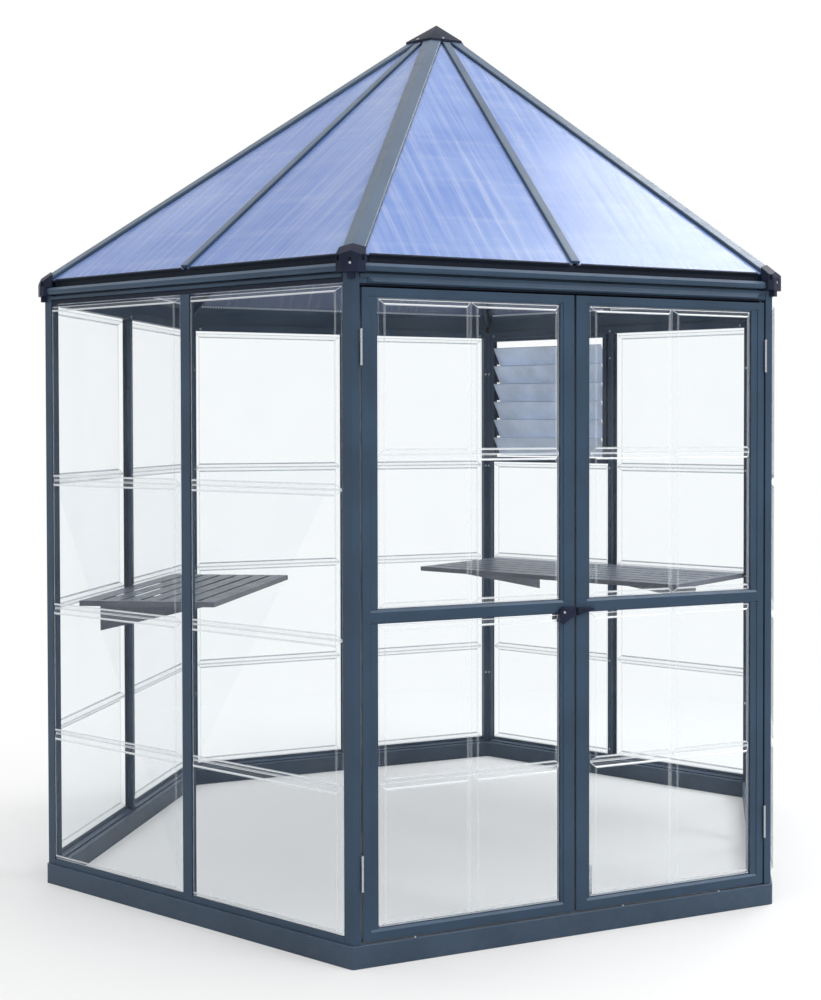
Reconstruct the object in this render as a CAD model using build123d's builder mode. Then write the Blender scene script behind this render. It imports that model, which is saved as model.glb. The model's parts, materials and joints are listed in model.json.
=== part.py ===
# Hexagonal garden greenhouse with a metal frame, pressed clear wall panes,
# a six-sided twin-wall roof and a pair of outward-opening doors.
# Millimetres. Origin on the ground under the centre, +Z up.
# The door wall faces -Y and the corners lie on the X axis and every 60 degrees round.
# Walls are counted anticlockwise from above: 0 door, 1 right, 2 right back,
# 3 back, 4 left back, 5 left front.
from build123d import *
from math import atan, cos, hypot, radians, sin, sqrt, tan
import os

os.makedirs("parts", exist_ok=True)

# Plan of the walls. The wall face is the distance from the centre to the outside of the frame
wall_face = 1051.0
frame_depth = 24.0
kerb_stand = 5.5

# Base kerb, a folded channel open below
kerb_height = 57.0
kerb_width = 46.0
kerb_sheet = 3.0
kerb_corner_spare = 1.5
kerb_lip = 12.0
kerb_corner_round = 14.0

# Heights of the eaves rails, upward from the kerb
wall_height = 1638.0
rail_mouth = 13.0
band_height = 8.5
band_stand = 3.0
neck_height = 5.2
neck_setback = 8.0
post_over_band = 1.8

# Fit between pieces that butt together
seat_gap = 0.3

# Corner posts and mullions
post_leg = 30.0
jamb_leg = 21.0
post_wall = 2.2
face_lip = 1.5
slot_width = 5.0
slot_deep = 9.0
mullion_width = 36.0
mullion_web = 17.2
mullion_clip_width = 30.0
clip_thick = 2.0

# Bottom rails
bottom_lip_rise = 18.0
bottom_seat_rise = 9.0
bottom_back_fall = 4.0

# Rubber seals
seal_stand = 1.5
seal_bulge = 1.6
header_seal_high = 4.7
header_seal_front = 3.0
header_seal_wide = 8.0

# Pressed panes
pane_sheet = 1.2
pane_gap = 0.3
tray_rise = 11.8
tray_land = 3.0
tray_margin = 4.5
tray_head_gap = 9.0
tray_foot_gap = 2.5
pane_edge_gap = 1.3
pane_foot_gap = 0.6
pane_head = 9.0
wall_groove_1 = 445.0
wall_groove_2 = 811.0
wall_groove_3 = 1184.0

# Gutter
gutter_overhang = 17.0
gutter_inset = 15.0
gutter_sheet = 1.8
gutter_face_rise = 12.0
gutter_lip_rise = 8.0
gutter_lip_run = 6.5
gutter_foot_slope = 4.0
gutter_end_setback = 26.6
gutter_mitre_gap = 8.5
seat_run = 17.0
seat_fit = 0.3
seat_sheet = 2.4

# Roof planes
eave_inset = 18.0
eave_lift = 42.5
roof_rise = 866.0
panel_thick = 4.0
panel_hip_gap = 9.0
panel_mid_gap = 7.0
panel_top_distance = 75.0

# Hip bars and mid bars
bar_clear = 0.4
bar_edge = 2.0
hip_cap_half = 29.5
hip_cap_top = 9.4
hip_web_half = 6.0
hip_web_drop = 32.0
hip_seat_half = 18.0
hip_seat_thick = 2.4
hip_end_setback = 3.0
hip_seat_setback = 26.6
mid_cap_half = 13.0
mid_cap_top = 9.0
mid_web_half = 4.5
mid_web_drop = 26.0
mid_seat_half = 12.0
mid_seat_thick = 2.0
mid_end_setback = 1.5
mid_high_distance = 86.2

# Crown
crown_radius = 104.0
crown_thick = 3.5
crown_over_bar = 7.5
crown_skirt = 15.0
crown_point = 9.5
crown_tip_round = 1.5
hub_flat = 60.0
hub_bore = 22.0
hub_height = 33.0

# Gutter corner covers
cover_stand = 8.0
cover_leg = 43.0
cover_facet_cut = 12.4
cover_sheet = 3.1
cover_wall = 3.5
cover_face_rise = 33.4
cover_crest_over_bar = 3.8
cover_crest_slope = 0.76
cover_brow_slope = 3.0
cover_side_fall = 0.27
cover_mouth_setback = 16.4
cover_mouth_half = 34.0
cover_floor_setback = 0.8
cover_lip_gap = 1.0
cover_slot_width = 8.0
cover_slot_high = 12.0
cover_slot_edge = 3.0
cover_slot_deep = 5.0
tab_setback = 5.5
tab_half = 8.5
tab_drop = 16.6

# Door leaves
door_kerb_gap = 5.2
door_head_gap = 10.0
hinge_edge_gap = 5.3
door_meeting_edge = 3.0
hinge_stile = 40.5
hinge_stile_outer = 20.5
meeting_stile = 39.0
meeting_stile_outer = 31.0
stile_step = 2.0
bead_deep = 4.0
bead_high = 7.0
door_lip = 5.0
door_bottom_rail = 29.8
door_top_rail = 24.0
door_mid_rail_low = 851.0
door_mid_rail_high = 887.0
door_slot_deep = 8.0
door_pane_edge = 7.0
door_groove_upper = 1270.0
door_groove_lower = 453.0
door_tray_margin = 4.0

# Door header with its drip strip
header_below_rail = 2.0
strip_stand = 9.0
strip_lip = 3.0
strip_end_setback = 40.8
strip_point = 14.0

# Hinges
hinge_axis_out = 5.0
hinge_axis_side = 2.7
knuckle_radius = 3.1
knuckle_head_radius = 3.8
knuckle_head = 3.0
hinge_length = 88.0
hinge_upper_share = 30.0
hinge_low_centre = 236.0
hinge_high_centre = 1536.0
hinge_plate_thick = 1.5
hinge_plate_deep = 22.0
hinge_plate_start = 2.0
hinge_split = 0.4

# Handle, its grip inside and its keeper
handle_height = 858.0
handle_thick = 12.0
handle_chamfer = 2.0
handle_corner = 4.0
horn_reach = 49.0
horn_shoulder = 38.4
horn_top = 8.0
horn_rise = 3.0
horn_drop = 34.5
horn_belly = 19.0
horn_root = 15.2
grip_inner = 33.0
grip_outer = 52.0
grip_top = 23.0
grip_low = 30.0
grip_waist = 8.0
grip_corner = 2.5
keeper_reach = 53.0
keeper_top = 7.5
keeper_belly = 5.6
keeper_root = 13.3
keeper_chamfer = 0.9

# Drop bolt
bolt_middle = 51.0
bolt_plate_width = 34.0
bolt_plate_low = 92.0
bolt_plate_high = 172.0
bolt_plate_thick = 2.0
bolt_block = 15.0
bolt_block_out = 9.0
bolt_rod_radius = 3.0
bolt_rod_foot = 68.0

# Louvre window in the second bay of wall 2
louvre_sill_low = 1196.0
louvre_sill = 20.0
louvre_frame_bar = 14.0
louvre_depth = 20.0
holder_thick = 6.0
holder_inset = 7.0
holder_deep = 10.0
tooth_out = 14.0
tooth_low = 30.0
tooth_land = 6.0
tooth_flat = 4.0
tooth_high = 8.0
slat_count = 6
slat_pitch = 72.0
slat_first_rise = 62.0
slat_high = 84.0
slat_thick = 5.0
slat_tilt = 32.0

# Shelves, with the ends and the inner edge of each tray and the places of its arms
shelf_left_start = -380.0
shelf_left_end = 435.0
shelf_left_inner = 605.0
left_arm_back = -250.0
left_arm_front = 280.0
shelf_right_start = -580.0
shelf_right_end = 540.0
shelf_right_inner = 548.0
right_arm_front = -380.0
right_arm_back = 330.0
shelf_top = 810.0
shelf_sheet = 2.0
shelf_rim = 16.0
shelf_slats = 7
shelf_slot = 13.0
shelf_slot_end = 30.0
arm_thick = 4.0
arm_end_drop = 14.0
arm_wall_drop = 110.0
arm_inset = 6.0
arm_wall_gap = 3.0

# Sizes worked out from those above
frame_back = wall_face - frame_depth
kerb_face = wall_face + kerb_stand
half_wall = wall_face * tan(radians(30))
flange_face = wall_face - face_lip - pane_gap
slot_back = wall_face - face_lip - slot_width
top_rail_low = kerb_height + wall_height
rail_band_low = top_rail_low + rail_mouth
rail_band_high = rail_band_low + band_height
rail_top = rail_band_high + neck_height
post_top = rail_band_high + post_over_band
gutter_front = wall_face + gutter_overhang
gutter_back = wall_face - gutter_inset
gutter_low = rail_top + seat_gap
gutter_face_high = gutter_low + gutter_face_rise
gutter_lip_high = gutter_face_high + gutter_lip_rise
roof_seat_inner = gutter_back - seat_run
eave_distance = gutter_front - eave_inset
eave_height = gutter_low + eave_lift
roof_peak = eave_height + roof_rise
hip_foot = eave_distance / cos(radians(30))
roof_pitch = atan(roof_rise / eave_distance)
hip_pitch = atan(roof_rise / hip_foot)
hip_slope = roof_rise / hip_foot
roof_slope_length = hypot(roof_rise, eave_distance)
hip_fall_p = sin(roof_pitch) * 0.5
hip_fall_q = sin(roof_pitch) * cos(radians(30)) * sin(hip_pitch) + cos(roof_pitch) * cos(hip_pitch)
hip_fall = hip_fall_p / hip_fall_q
hip_low_radius = hip_foot - hip_end_setback
bar_rise = hip_cap_top / cos(hip_pitch)
hub_low = roof_peak - hip_slope * hub_flat - hip_web_drop / cos(hip_pitch)
reach = 60.0


def wall_point(wall, along, distance):
    """Plan point on a wall, measured along it from its middle."""
    turn = radians(-90 + 60 * wall)
    px = distance * cos(turn) - along * sin(turn)
    py = distance * sin(turn) + along * cos(turn)
    return (px, py)


def roof_top_at(distance):
    """Height of the upper face of the roof sheets at a distance from the centre."""
    return roof_peak - roof_rise * distance / eave_distance


def roof_under_at(distance):
    """Height of the lower face of the roof sheets."""
    return roof_top_at(distance) - panel_thick / cos(roof_pitch)


def hip_plane(radius):
    """Plane square to a hip at a given radius, X across and Y upward."""
    height = roof_peak - hip_slope * radius
    along = Vector(-cos(hip_pitch), 0, sin(hip_pitch))
    return Plane(origin=(radius, 0, height), x_dir=(0, -1, 0), z_dir=along)


def hip_length(start, finish):
    """Length along a hip between two radii."""
    return (start - finish) / cos(hip_pitch)


def hip_tent(top, half, low):
    """Outline of a hip's section with its top parallel to the roof faces."""
    return (
        (0, top),
        (half, top - hip_fall * half),
        (half, low),
        (-half, low),
        (-half, top - hip_fall * half),
    )


def wall_turn(wall):
    """Turn about the middle of the house from the door wall to another."""
    return Location((0, 0, 0), (0, 0, 60 * wall))


face_plane = Plane(origin=(0, -flange_face, 0), x_dir=(1, 0, 0), z_dir=(0, -1, 0))
front_plane = Plane(origin=(0, -wall_face, 0), x_dir=(1, 0, 0), z_dir=(0, -1, 0))
section_plane = Plane(origin=(0, 0, 0), x_dir=(0, -1, 0), z_dir=(-1, 0, 0))
roof_plane = Plane(
    origin=(0, -eave_distance, eave_height),
    x_dir=(1, 0, 0),
    z_dir=(0, -sin(roof_pitch), cos(roof_pitch)),
)

# Base kerb
with BuildPart() as base_kerb:
    with BuildSketch() as kerb_plan:
        RegularPolygon(kerb_face, 6, major_radius=False)
        fillet(kerb_plan.vertices(), kerb_corner_round)
        RegularPolygon(kerb_face - kerb_width, 6, major_radius=False, mode=Mode.SUBTRACT)
    extrude(amount=kerb_height)
    with BuildSketch(Plane.XY.offset(kerb_sheet)):
        RegularPolygon(kerb_face - kerb_sheet - kerb_corner_spare, 6, major_radius=False)
        RegularPolygon(
            kerb_face - kerb_width + kerb_sheet, 6, major_radius=False, mode=Mode.SUBTRACT
        )
    extrude(amount=kerb_height - 2 * kerb_sheet, mode=Mode.SUBTRACT)
    with BuildSketch():
        RegularPolygon(kerb_face - kerb_sheet - kerb_lip, 6, major_radius=False)
        RegularPolygon(
            kerb_face - kerb_width + kerb_sheet + kerb_lip,
            6,
            major_radius=False,
            mode=Mode.SUBTRACT,
        )
    extrude(amount=kerb_sheet, mode=Mode.SUBTRACT)
base_kerb.part.label = "base_kerb"


def slot_outline(wall, side, leg):
    """Plan of the slot down a post that takes the edge of a pane."""
    mouth = side * (half_wall - leg - 1)
    deep = side * (half_wall - leg + slot_deep)
    return (
        wall_point(wall, mouth, wall_face - face_lip),
        wall_point(wall, deep, wall_face - face_lip),
        wall_point(wall, deep, slot_back),
        wall_point(wall, mouth, slot_back),
    )


# Corner posts, hollow, with a slot down each side that takes a pane
inner_half = frame_back * tan(radians(30))
hollow_half = (frame_back + post_wall) * tan(radians(30))
tip_half = (wall_face - post_wall) * tan(radians(30))
with BuildPart() as corner_posts:
    for corner in range(6):
        leg_a = jamb_leg if corner == 1 else post_leg
        leg_b = jamb_leg if corner == 0 else post_leg
        with BuildSketch(Plane.XY.offset(kerb_height)):
            with BuildLine():
                Polyline(
                    wall_point(corner, -(half_wall - leg_b), wall_face),
                    wall_point(corner, -half_wall, wall_face),
                    wall_point(corner - 1, half_wall - leg_a, wall_face),
                    wall_point(corner - 1, half_wall - leg_a, frame_back),
                    wall_point(corner, -inner_half, frame_back),
                    wall_point(corner, -(half_wall - leg_b), frame_back),
                    close=True,
                )
            make_face()
            if corner != 1:
                with BuildLine():
                    Polyline(*slot_outline(corner - 1, 1, leg_a), close=True)
                make_face(mode=Mode.SUBTRACT)
            if corner != 0:
                with BuildLine():
                    Polyline(*slot_outline(corner, -1, leg_b), close=True)
                make_face(mode=Mode.SUBTRACT)
            hollow_a = half_wall - leg_a + slot_deep + post_wall
            hollow_b = half_wall - leg_b + slot_deep + post_wall
            with BuildLine():
                Polyline(
                    wall_point(corner, -hollow_b, wall_face - post_wall),
                    wall_point(corner, -tip_half, wall_face - post_wall),
                    wall_point(corner - 1, hollow_a, wall_face - post_wall),
                    wall_point(corner - 1, hollow_a, frame_back + post_wall),
                    wall_point(corner, -hollow_half, frame_back + post_wall),
                    wall_point(corner, -hollow_b, frame_back + post_wall),
                    close=True,
                )
            make_face(mode=Mode.SUBTRACT)
        extrude(amount=post_top - kerb_height)
corner_posts.part.label = "corner_posts"

# Mullion between the two bays of a wall
chamber_back = frame_back + post_wall
chamber_front = slot_back - clip_thick - post_wall / 2
with BuildPart() as mullion_one:
    with BuildSketch(Plane.XY.offset(kerb_height)):
        with Locations((0, -(wall_face - face_lip / 2))):
            Rectangle(mullion_width, face_lip)
        with Locations((0, -(wall_face - face_lip / 2 - frame_depth / 2))):
            Rectangle(mullion_web, frame_depth - face_lip)
        with Locations((0, -(slot_back - clip_thick / 2))):
            Rectangle(mullion_clip_width, clip_thick)
        with Locations((0, -(chamber_back + chamber_front) / 2)):
            Rectangle(
                mullion_web - 2 * post_wall, chamber_front - chamber_back, mode=Mode.SUBTRACT
            )
    extrude(amount=top_rail_low - seat_gap - kerb_height)

paned_walls = [wall_turn(wall) for wall in (1, 2, 3, 4, 5)]
with BuildPart() as mullions:
    with Locations(*paned_walls):
        add(mullion_one.part)
mullions.part.label = "mullions"

# Bottom rails between posts and mullions
rail_inner = mullion_width / 2 + seat_gap
rail_outer = half_wall - post_leg - seat_gap
bottom_lip_top = kerb_height + bottom_lip_rise
bottom_seat = kerb_height + bottom_seat_rise
with BuildPart() as bottom_rail_one:
    with BuildSketch(section_plane.offset(-rail_outer)):
        with BuildLine():
            Polyline(
                (wall_face, kerb_height),
                (wall_face, bottom_lip_top),
                (wall_face - face_lip, bottom_lip_top),
                (wall_face - face_lip, bottom_seat),
                (slot_back, bottom_seat),
                (slot_back, bottom_lip_top),
                (slot_back - clip_thick, bottom_lip_top),
                (slot_back - clip_thick, bottom_seat),
                (frame_back, bottom_seat - bottom_back_fall),
                (frame_back, kerb_height),
                close=True,
            )
        make_face()
    extrude(amount=rail_outer - rail_inner)
    mirror(about=Plane.YZ)

with BuildPart() as bottom_rails:
    with Locations(*paned_walls):
        add(bottom_rail_one.part)
bottom_rails.part.label = "bottom_rails"

# Top rails of the five paned walls, with a band standing out at the head
band_face = wall_face + band_stand
rail_neck = wall_face - neck_setback
with BuildPart() as top_rail_one:
    with BuildSketch(section_plane.offset(-rail_outer)):
        with BuildLine():
            Polyline(
                (slot_back, top_rail_low),
                (slot_back, rail_band_low),
                (band_face, rail_band_low),
                (band_face, rail_band_high),
                (rail_neck, rail_band_high),
                (rail_neck, rail_top),
                (frame_back, rail_top),
                (frame_back, top_rail_low),
                close=True,
            )
        make_face()
    extrude(amount=2 * rail_outer)

with BuildPart() as top_rails:
    with Locations(*paned_walls):
        add(top_rail_one.part)
top_rails.part.label = "top_rails"

# Rubber bead that holds the heads of the panes under the band
seal_back = wall_face - face_lip
seal_low = top_rail_low + seat_gap
seal_high = rail_band_low - seat_gap
with BuildPart() as pane_seal_one:
    with BuildSketch(section_plane.offset(-rail_outer)):
        with BuildLine():
            Polyline(
                (seal_back + seal_stand, seal_high),
                (seal_back, seal_high),
                (seal_back, seal_low),
                (seal_back + seal_stand, seal_low),
            )
            ThreePointArc(
                (seal_back + seal_stand, seal_low),
                (seal_back + seal_stand + seal_bulge, (seal_low + seal_high) / 2),
                (seal_back + seal_stand, seal_high),
            )
        make_face()
    extrude(amount=2 * rail_outer)

with BuildPart() as pane_seals:
    with Locations(*paned_walls):
        add(pane_seal_one.part)
pane_seals.part.label = "pane_seals"

# Door header with the same band and a sloping drip strip below it
header_half = half_wall - jamb_leg - seat_gap
header_face = wall_face - face_lip
header_low = top_rail_low - header_below_rail
strip_half = half_wall - strip_end_setback
strip_front = wall_face + strip_stand
with BuildPart() as door_header:
    with BuildSketch(section_plane.offset(-header_half)):
        with BuildLine():
            Polyline(
                (header_face, header_low),
                (header_face, rail_band_low),
                (band_face, rail_band_low),
                (band_face, rail_band_high),
                (rail_neck, rail_band_high),
                (rail_neck, rail_top),
                (frame_back, rail_top),
                (frame_back, header_low),
                close=True,
            )
        make_face()
    extrude(amount=2 * header_half)
    with BuildSketch(section_plane.offset(-strip_half)):
        with BuildLine():
            Polyline(
                (header_face, top_rail_low),
                (strip_front, top_rail_low),
                (strip_front, top_rail_low + strip_lip),
                (band_face, rail_band_low),
                (header_face, rail_band_low),
                close=True,
            )
        make_face()
    extrude(amount=2 * strip_half)
    with BuildSketch(Plane.XY.offset(top_rail_low - 1)) as strip_ends:
        with BuildLine():
            Polyline(
                (strip_half - strip_point, -strip_front - 1),
                (strip_half + 1, -strip_front - 1),
                (strip_half + 1, -header_face - 1),
                close=True,
            )
        make_face()
        mirror(about=Plane.YZ)
    extrude(amount=rail_mouth, mode=Mode.SUBTRACT)
door_header.part.label = "door_header"

# Rubber strip under the header, above the door leaves
with BuildPart() as header_seal:
    with BuildSketch(section_plane.offset(-header_half)):
        with Locations(
            (
                wall_face - header_seal_front - header_seal_wide / 2,
                header_low - seat_gap - header_seal_high / 2,
            )
        ):
            RectangleRounded(header_seal_wide, header_seal_high, 1.5)
    extrude(amount=2 * header_half)
header_seal.part.label = "header_seal"

# Gutter with the seat the roof sheets rest on
gutter_half = gutter_front * tan(radians(30)) - gutter_end_setback
sheet_back = gutter_back + gutter_sheet
mitre_far = gutter_front + reach
mitre_near = roof_seat_inner - reach
mitre_far_half = mitre_far * tan(radians(30)) - gutter_mitre_gap
mitre_near_half = mitre_near * tan(radians(30)) - gutter_mitre_gap
gutter_floor = gutter_low + gutter_sheet
foot_inside = gutter_foot_slope + 0.4 * gutter_sheet
with BuildPart() as gutter_one:
    with BuildSketch(section_plane.offset(-gutter_half)):
        with BuildLine():
            Polyline(
                (gutter_back, gutter_low),
                (gutter_front - gutter_foot_slope, gutter_low),
                (gutter_front, gutter_low + gutter_foot_slope),
                (gutter_front, gutter_face_high),
                (gutter_front - gutter_lip_run, gutter_lip_high),
                (gutter_front - gutter_lip_run - 1.3, gutter_lip_high - 1.3),
                (gutter_front - gutter_sheet, gutter_face_high - 0.7),
                (gutter_front - gutter_sheet, gutter_low + foot_inside),
                (gutter_front - foot_inside, gutter_floor),
                (sheet_back, gutter_floor),
                (sheet_back, roof_under_at(sheet_back) - seat_fit),
                (roof_seat_inner, roof_under_at(roof_seat_inner) - seat_fit),
                (roof_seat_inner, roof_under_at(roof_seat_inner) - seat_fit - seat_sheet),
                (gutter_back, roof_under_at(gutter_back) - seat_fit - seat_sheet),
                close=True,
            )
        make_face()
    extrude(amount=2 * gutter_half)
    with BuildSketch(Plane.XY.offset(gutter_low - 1)):
        with BuildLine():
            Polyline(
                (-mitre_near_half, -mitre_near),
                (mitre_near_half, -mitre_near),
                (mitre_far_half, -mitre_far),
                (-mitre_far_half, -mitre_far),
                close=True,
            )
        make_face()
    extrude(amount=eave_lift + reach, mode=Mode.INTERSECT)

with BuildPart() as gutters:
    with PolarLocations(0, 6):
        add(gutter_one.part)
gutters.part.label = "gutters"

# Roof sheets, two to each face
top_v = roof_slope_length * (1 - panel_top_distance / eave_distance)
eave_half = eave_distance * tan(radians(30))
hip_offset_u = panel_hip_gap * sqrt(1 + (eave_half / roof_slope_length) ** 2)
top_half = eave_half * panel_top_distance / eave_distance
with BuildPart() as roof_pair:
    with BuildSketch(roof_plane):
        with BuildLine():
            Polyline(
                (panel_mid_gap, 0),
                (eave_half - hip_offset_u, 0),
                (top_half - hip_offset_u, top_v),
                (panel_mid_gap, top_v),
                close=True,
            )
        make_face()
        mirror(about=Plane.YZ)
    extrude(amount=-panel_thick)

roof_names = (
    "roof_sheets_front",
    "roof_sheets_right",
    "roof_sheets_right_back",
    "roof_sheets_back",
    "roof_sheets_left_back",
    "roof_sheets_left",
)
roof_builders = []
for wall, roof_name in enumerate(roof_names):
    with BuildPart() as roof_face:
        with Locations(wall_turn(wall)):
            add(roof_pair.part)
    roof_face.part.label = roof_name
    roof_builders.append(roof_face)

# Hip bars, each a capping with its edges turned down over a web and a seat for the sheets
edge_fall = hip_cap_top - hip_fall * hip_cap_half
shoulder = hip_cap_half - bar_edge
hip_seat_radius = roof_seat_inner / cos(radians(30)) - hip_seat_setback
sheet_under = panel_thick / cos(atan(hip_fall)) + bar_clear
with BuildPart() as hip_one:
    with BuildSketch(hip_plane(hip_low_radius)):
        with BuildLine():
            Polyline(
                (0, hip_cap_top),
                (shoulder, hip_cap_top - hip_fall * shoulder),
                (hip_cap_half, edge_fall - bar_edge),
                (hip_cap_half, bar_clear - hip_fall * hip_cap_half),
                (hip_web_half, bar_clear - hip_fall * hip_web_half),
                (hip_web_half, -hip_web_drop),
                (-hip_web_half, -hip_web_drop),
                (-hip_web_half, bar_clear - hip_fall * hip_web_half),
                (-hip_cap_half, bar_clear - hip_fall * hip_cap_half),
                (-hip_cap_half, edge_fall - bar_edge),
                (-shoulder, hip_cap_top - hip_fall * shoulder),
                close=True,
            )
        make_face()
    extrude(amount=hip_length(hip_low_radius, hub_flat / 2))
    with BuildSketch(hip_plane(hip_seat_radius)):
        with BuildLine():
            Polyline(
                (0, -sheet_under),
                (hip_seat_half, -sheet_under - hip_fall * hip_seat_half),
                (hip_seat_half, -sheet_under - hip_seat_thick - hip_fall * hip_seat_half),
                (0, -sheet_under - hip_seat_thick),
                (-hip_seat_half, -sheet_under - hip_seat_thick - hip_fall * hip_seat_half),
                (-hip_seat_half, -sheet_under - hip_fall * hip_seat_half),
                close=True,
            )
        make_face()
    extrude(amount=hip_length(hip_seat_radius, hub_flat / 2))
    with BuildSketch(Plane.XY.offset(hub_low - reach)):
        Rectangle(2 * (hub_flat + seat_gap), 4 * reach)
    extrude(amount=4 * reach, mode=Mode.SUBTRACT)

with BuildPart() as hip_bars:
    with PolarLocations(0, 6):
        add(hip_one.part)
hip_bars.part.label = "hip_bars"

# Bars up the middle of each roof face
mid_up = Vector(0, cos(roof_pitch), sin(roof_pitch))


def mid_plane(distance):
    """Plane square to the middle bar of the front face."""
    return Plane(
        origin=(0, -distance, roof_top_at(distance)), x_dir=(-1, 0, 0), z_dir=mid_up
    )


def mid_length(start, finish):
    """Length up a roof face between two distances from the centre."""
    return (start - finish) / cos(roof_pitch)


mid_cap_start = eave_distance - mid_end_setback
mid_web_start = roof_seat_inner - mid_end_setback
with BuildPart() as mid_one:
    with BuildSketch(mid_plane(mid_cap_start)):
        with BuildLine():
            Polyline(
                (-mid_cap_half, bar_clear),
                (-mid_cap_half, mid_cap_top - bar_edge),
                (-mid_cap_half + bar_edge, mid_cap_top),
                (mid_cap_half - bar_edge, mid_cap_top),
                (mid_cap_half, mid_cap_top - bar_edge),
                (mid_cap_half, bar_clear),
                close=True,
            )
        make_face()
    extrude(amount=mid_length(mid_cap_start, mid_high_distance))
    with BuildSketch(mid_plane(mid_web_start)):
        with Locations((0, (bar_clear - mid_web_drop) / 2)):
            Rectangle(2 * mid_web_half, mid_web_drop + bar_clear)
        with Locations((0, -panel_thick - bar_clear - mid_seat_thick / 2)):
            Rectangle(2 * mid_seat_half, mid_seat_thick)
    extrude(amount=mid_length(mid_web_start, mid_high_distance))

with BuildPart() as mid_bars:
    with PolarLocations(0, 6):
        add(mid_one.part)
mid_bars.part.label = "mid_bars"

# Crown cap, a hollow six-sided point notched over the tops of the bars
crown_rim = roof_peak + bar_rise + crown_over_bar - hip_slope * crown_radius
crown_foot = crown_rim - crown_skirt
crown_tip = roof_peak + crown_point
crown_fall = (crown_tip - crown_rim) / (crown_radius - crown_tip_round)
crown_drop = crown_thick * hypot(1, crown_fall)
crown_inner = crown_radius - crown_thick
inner_rim = crown_rim + crown_fall * (crown_radius - crown_inner) - crown_drop
inner_tip = crown_tip - crown_drop
with BuildPart() as crown_notch:
    with BuildSketch(hip_plane(crown_radius + crown_over_bar)):
        with BuildLine():
            Polyline(
                *hip_tent(hip_cap_top + seat_gap, hip_cap_half + seat_gap, -hip_web_drop),
                close=True,
            )
        make_face()
    extrude(amount=hip_length(crown_radius + crown_over_bar, hub_flat - crown_over_bar))
with BuildPart() as crown_mid_notch:
    with BuildSketch(mid_plane(crown_radius)):
        with Locations((0, (mid_cap_top + seat_gap) / 2 - mid_cap_top)):
            Rectangle(2 * (mid_cap_half + seat_gap), 3 * mid_cap_top + seat_gap)
    extrude(amount=mid_length(crown_radius, crown_radius - 2 * crown_skirt))
with BuildPart() as crown_cap:
    with BuildSketch(Plane.XY.offset(crown_foot)):
        RegularPolygon(crown_radius, 6)
    extrude(amount=crown_skirt)
    with BuildSketch(Plane.XY.offset(crown_rim)):
        RegularPolygon(crown_radius, 6)
    with BuildSketch(Plane.XY.offset(crown_tip)):
        RegularPolygon(crown_tip_round, 6)
    loft()
    with BuildSketch(Plane.XY.offset(crown_foot)):
        RegularPolygon(crown_inner, 6)
    extrude(amount=inner_rim - crown_foot, mode=Mode.SUBTRACT)
    with BuildSketch(Plane.XY.offset(inner_rim)):
        RegularPolygon(crown_inner, 6)
    with BuildSketch(Plane.XY.offset(inner_tip)):
        RegularPolygon(crown_tip_round, 6)
    loft(mode=Mode.SUBTRACT)
    with PolarLocations(0, 6):
        add(crown_notch.part, mode=Mode.SUBTRACT)
    with PolarLocations(0, 6):
        add(crown_mid_notch.part, mode=Mode.SUBTRACT)
crown_cap.part.label = "crown_cap"

# Hub the hips meet at, under the crown
with BuildPart() as roof_hub:
    with BuildSketch(Plane.XY.offset(hub_low)):
        RegularPolygon(hub_flat, 6, major_radius=False, rotation=30)
        Circle(hub_bore, mode=Mode.SUBTRACT)
    extrude(amount=hub_height)
roof_hub.part.label = "roof_hub"

# Corner covers where two gutters meet and a hip lands. The one on +X is made first
cover_face = gutter_front + cover_stand
cover_inner = gutter_front + seat_gap
cover_low = post_top + seat_gap
cover_floor = cover_low + cover_sheet
cover_brow = cover_low + cover_face_rise
cover_sharp = cover_face / cos(radians(30))
facet_radius = cover_sharp - cover_facet_cut
facet_half = cover_facet_cut * tan(radians(60))
cheek_radius = cover_sharp - cover_leg * cos(radians(60))
cheek_half = cover_leg * sin(radians(60))
mouth_radius = hip_foot - cover_mouth_setback
mouth_crest = roof_peak + bar_rise - hip_slope * mouth_radius + cover_crest_over_bar
crest_turn = atan(cover_crest_slope)
crest_fall = cover_side_fall * cos(crest_turn)
cavity_radius = facet_radius - cover_wall
cavity_half = (cover_inner / cos(radians(30)) - cavity_radius) * tan(radians(60))
cavity_far = cover_inner / cos(radians(30)) - reach / tan(radians(60))
cavity_top = gutter_lip_high + cover_lip_gap
floor_sharp = (wall_face - cover_floor_setback) / cos(radians(30))
floor_far = floor_sharp - reach / tan(radians(60))
slot_low = cover_brow - cover_slot_high / 2
slot_near = cover_face * tan(radians(30)) - cover_leg + cover_slot_edge
crest_plane = Plane(
    origin=(mouth_radius - reach, 0, mouth_crest + cover_crest_slope * reach),
    x_dir=(0, 1, 0),
    z_dir=(cos(crest_turn), 0, -sin(crest_turn)),
)
radial_plane = Plane(origin=(0, reach, 0), x_dir=(1, 0, 0), z_dir=(0, -1, 0))


def corner_point(side, along, distance):
    """Plan point near the corner on +X, on the wall to its left or right."""
    return wall_point(1 if side < 0 else 2, along if side < 0 else -along, distance)


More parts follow.
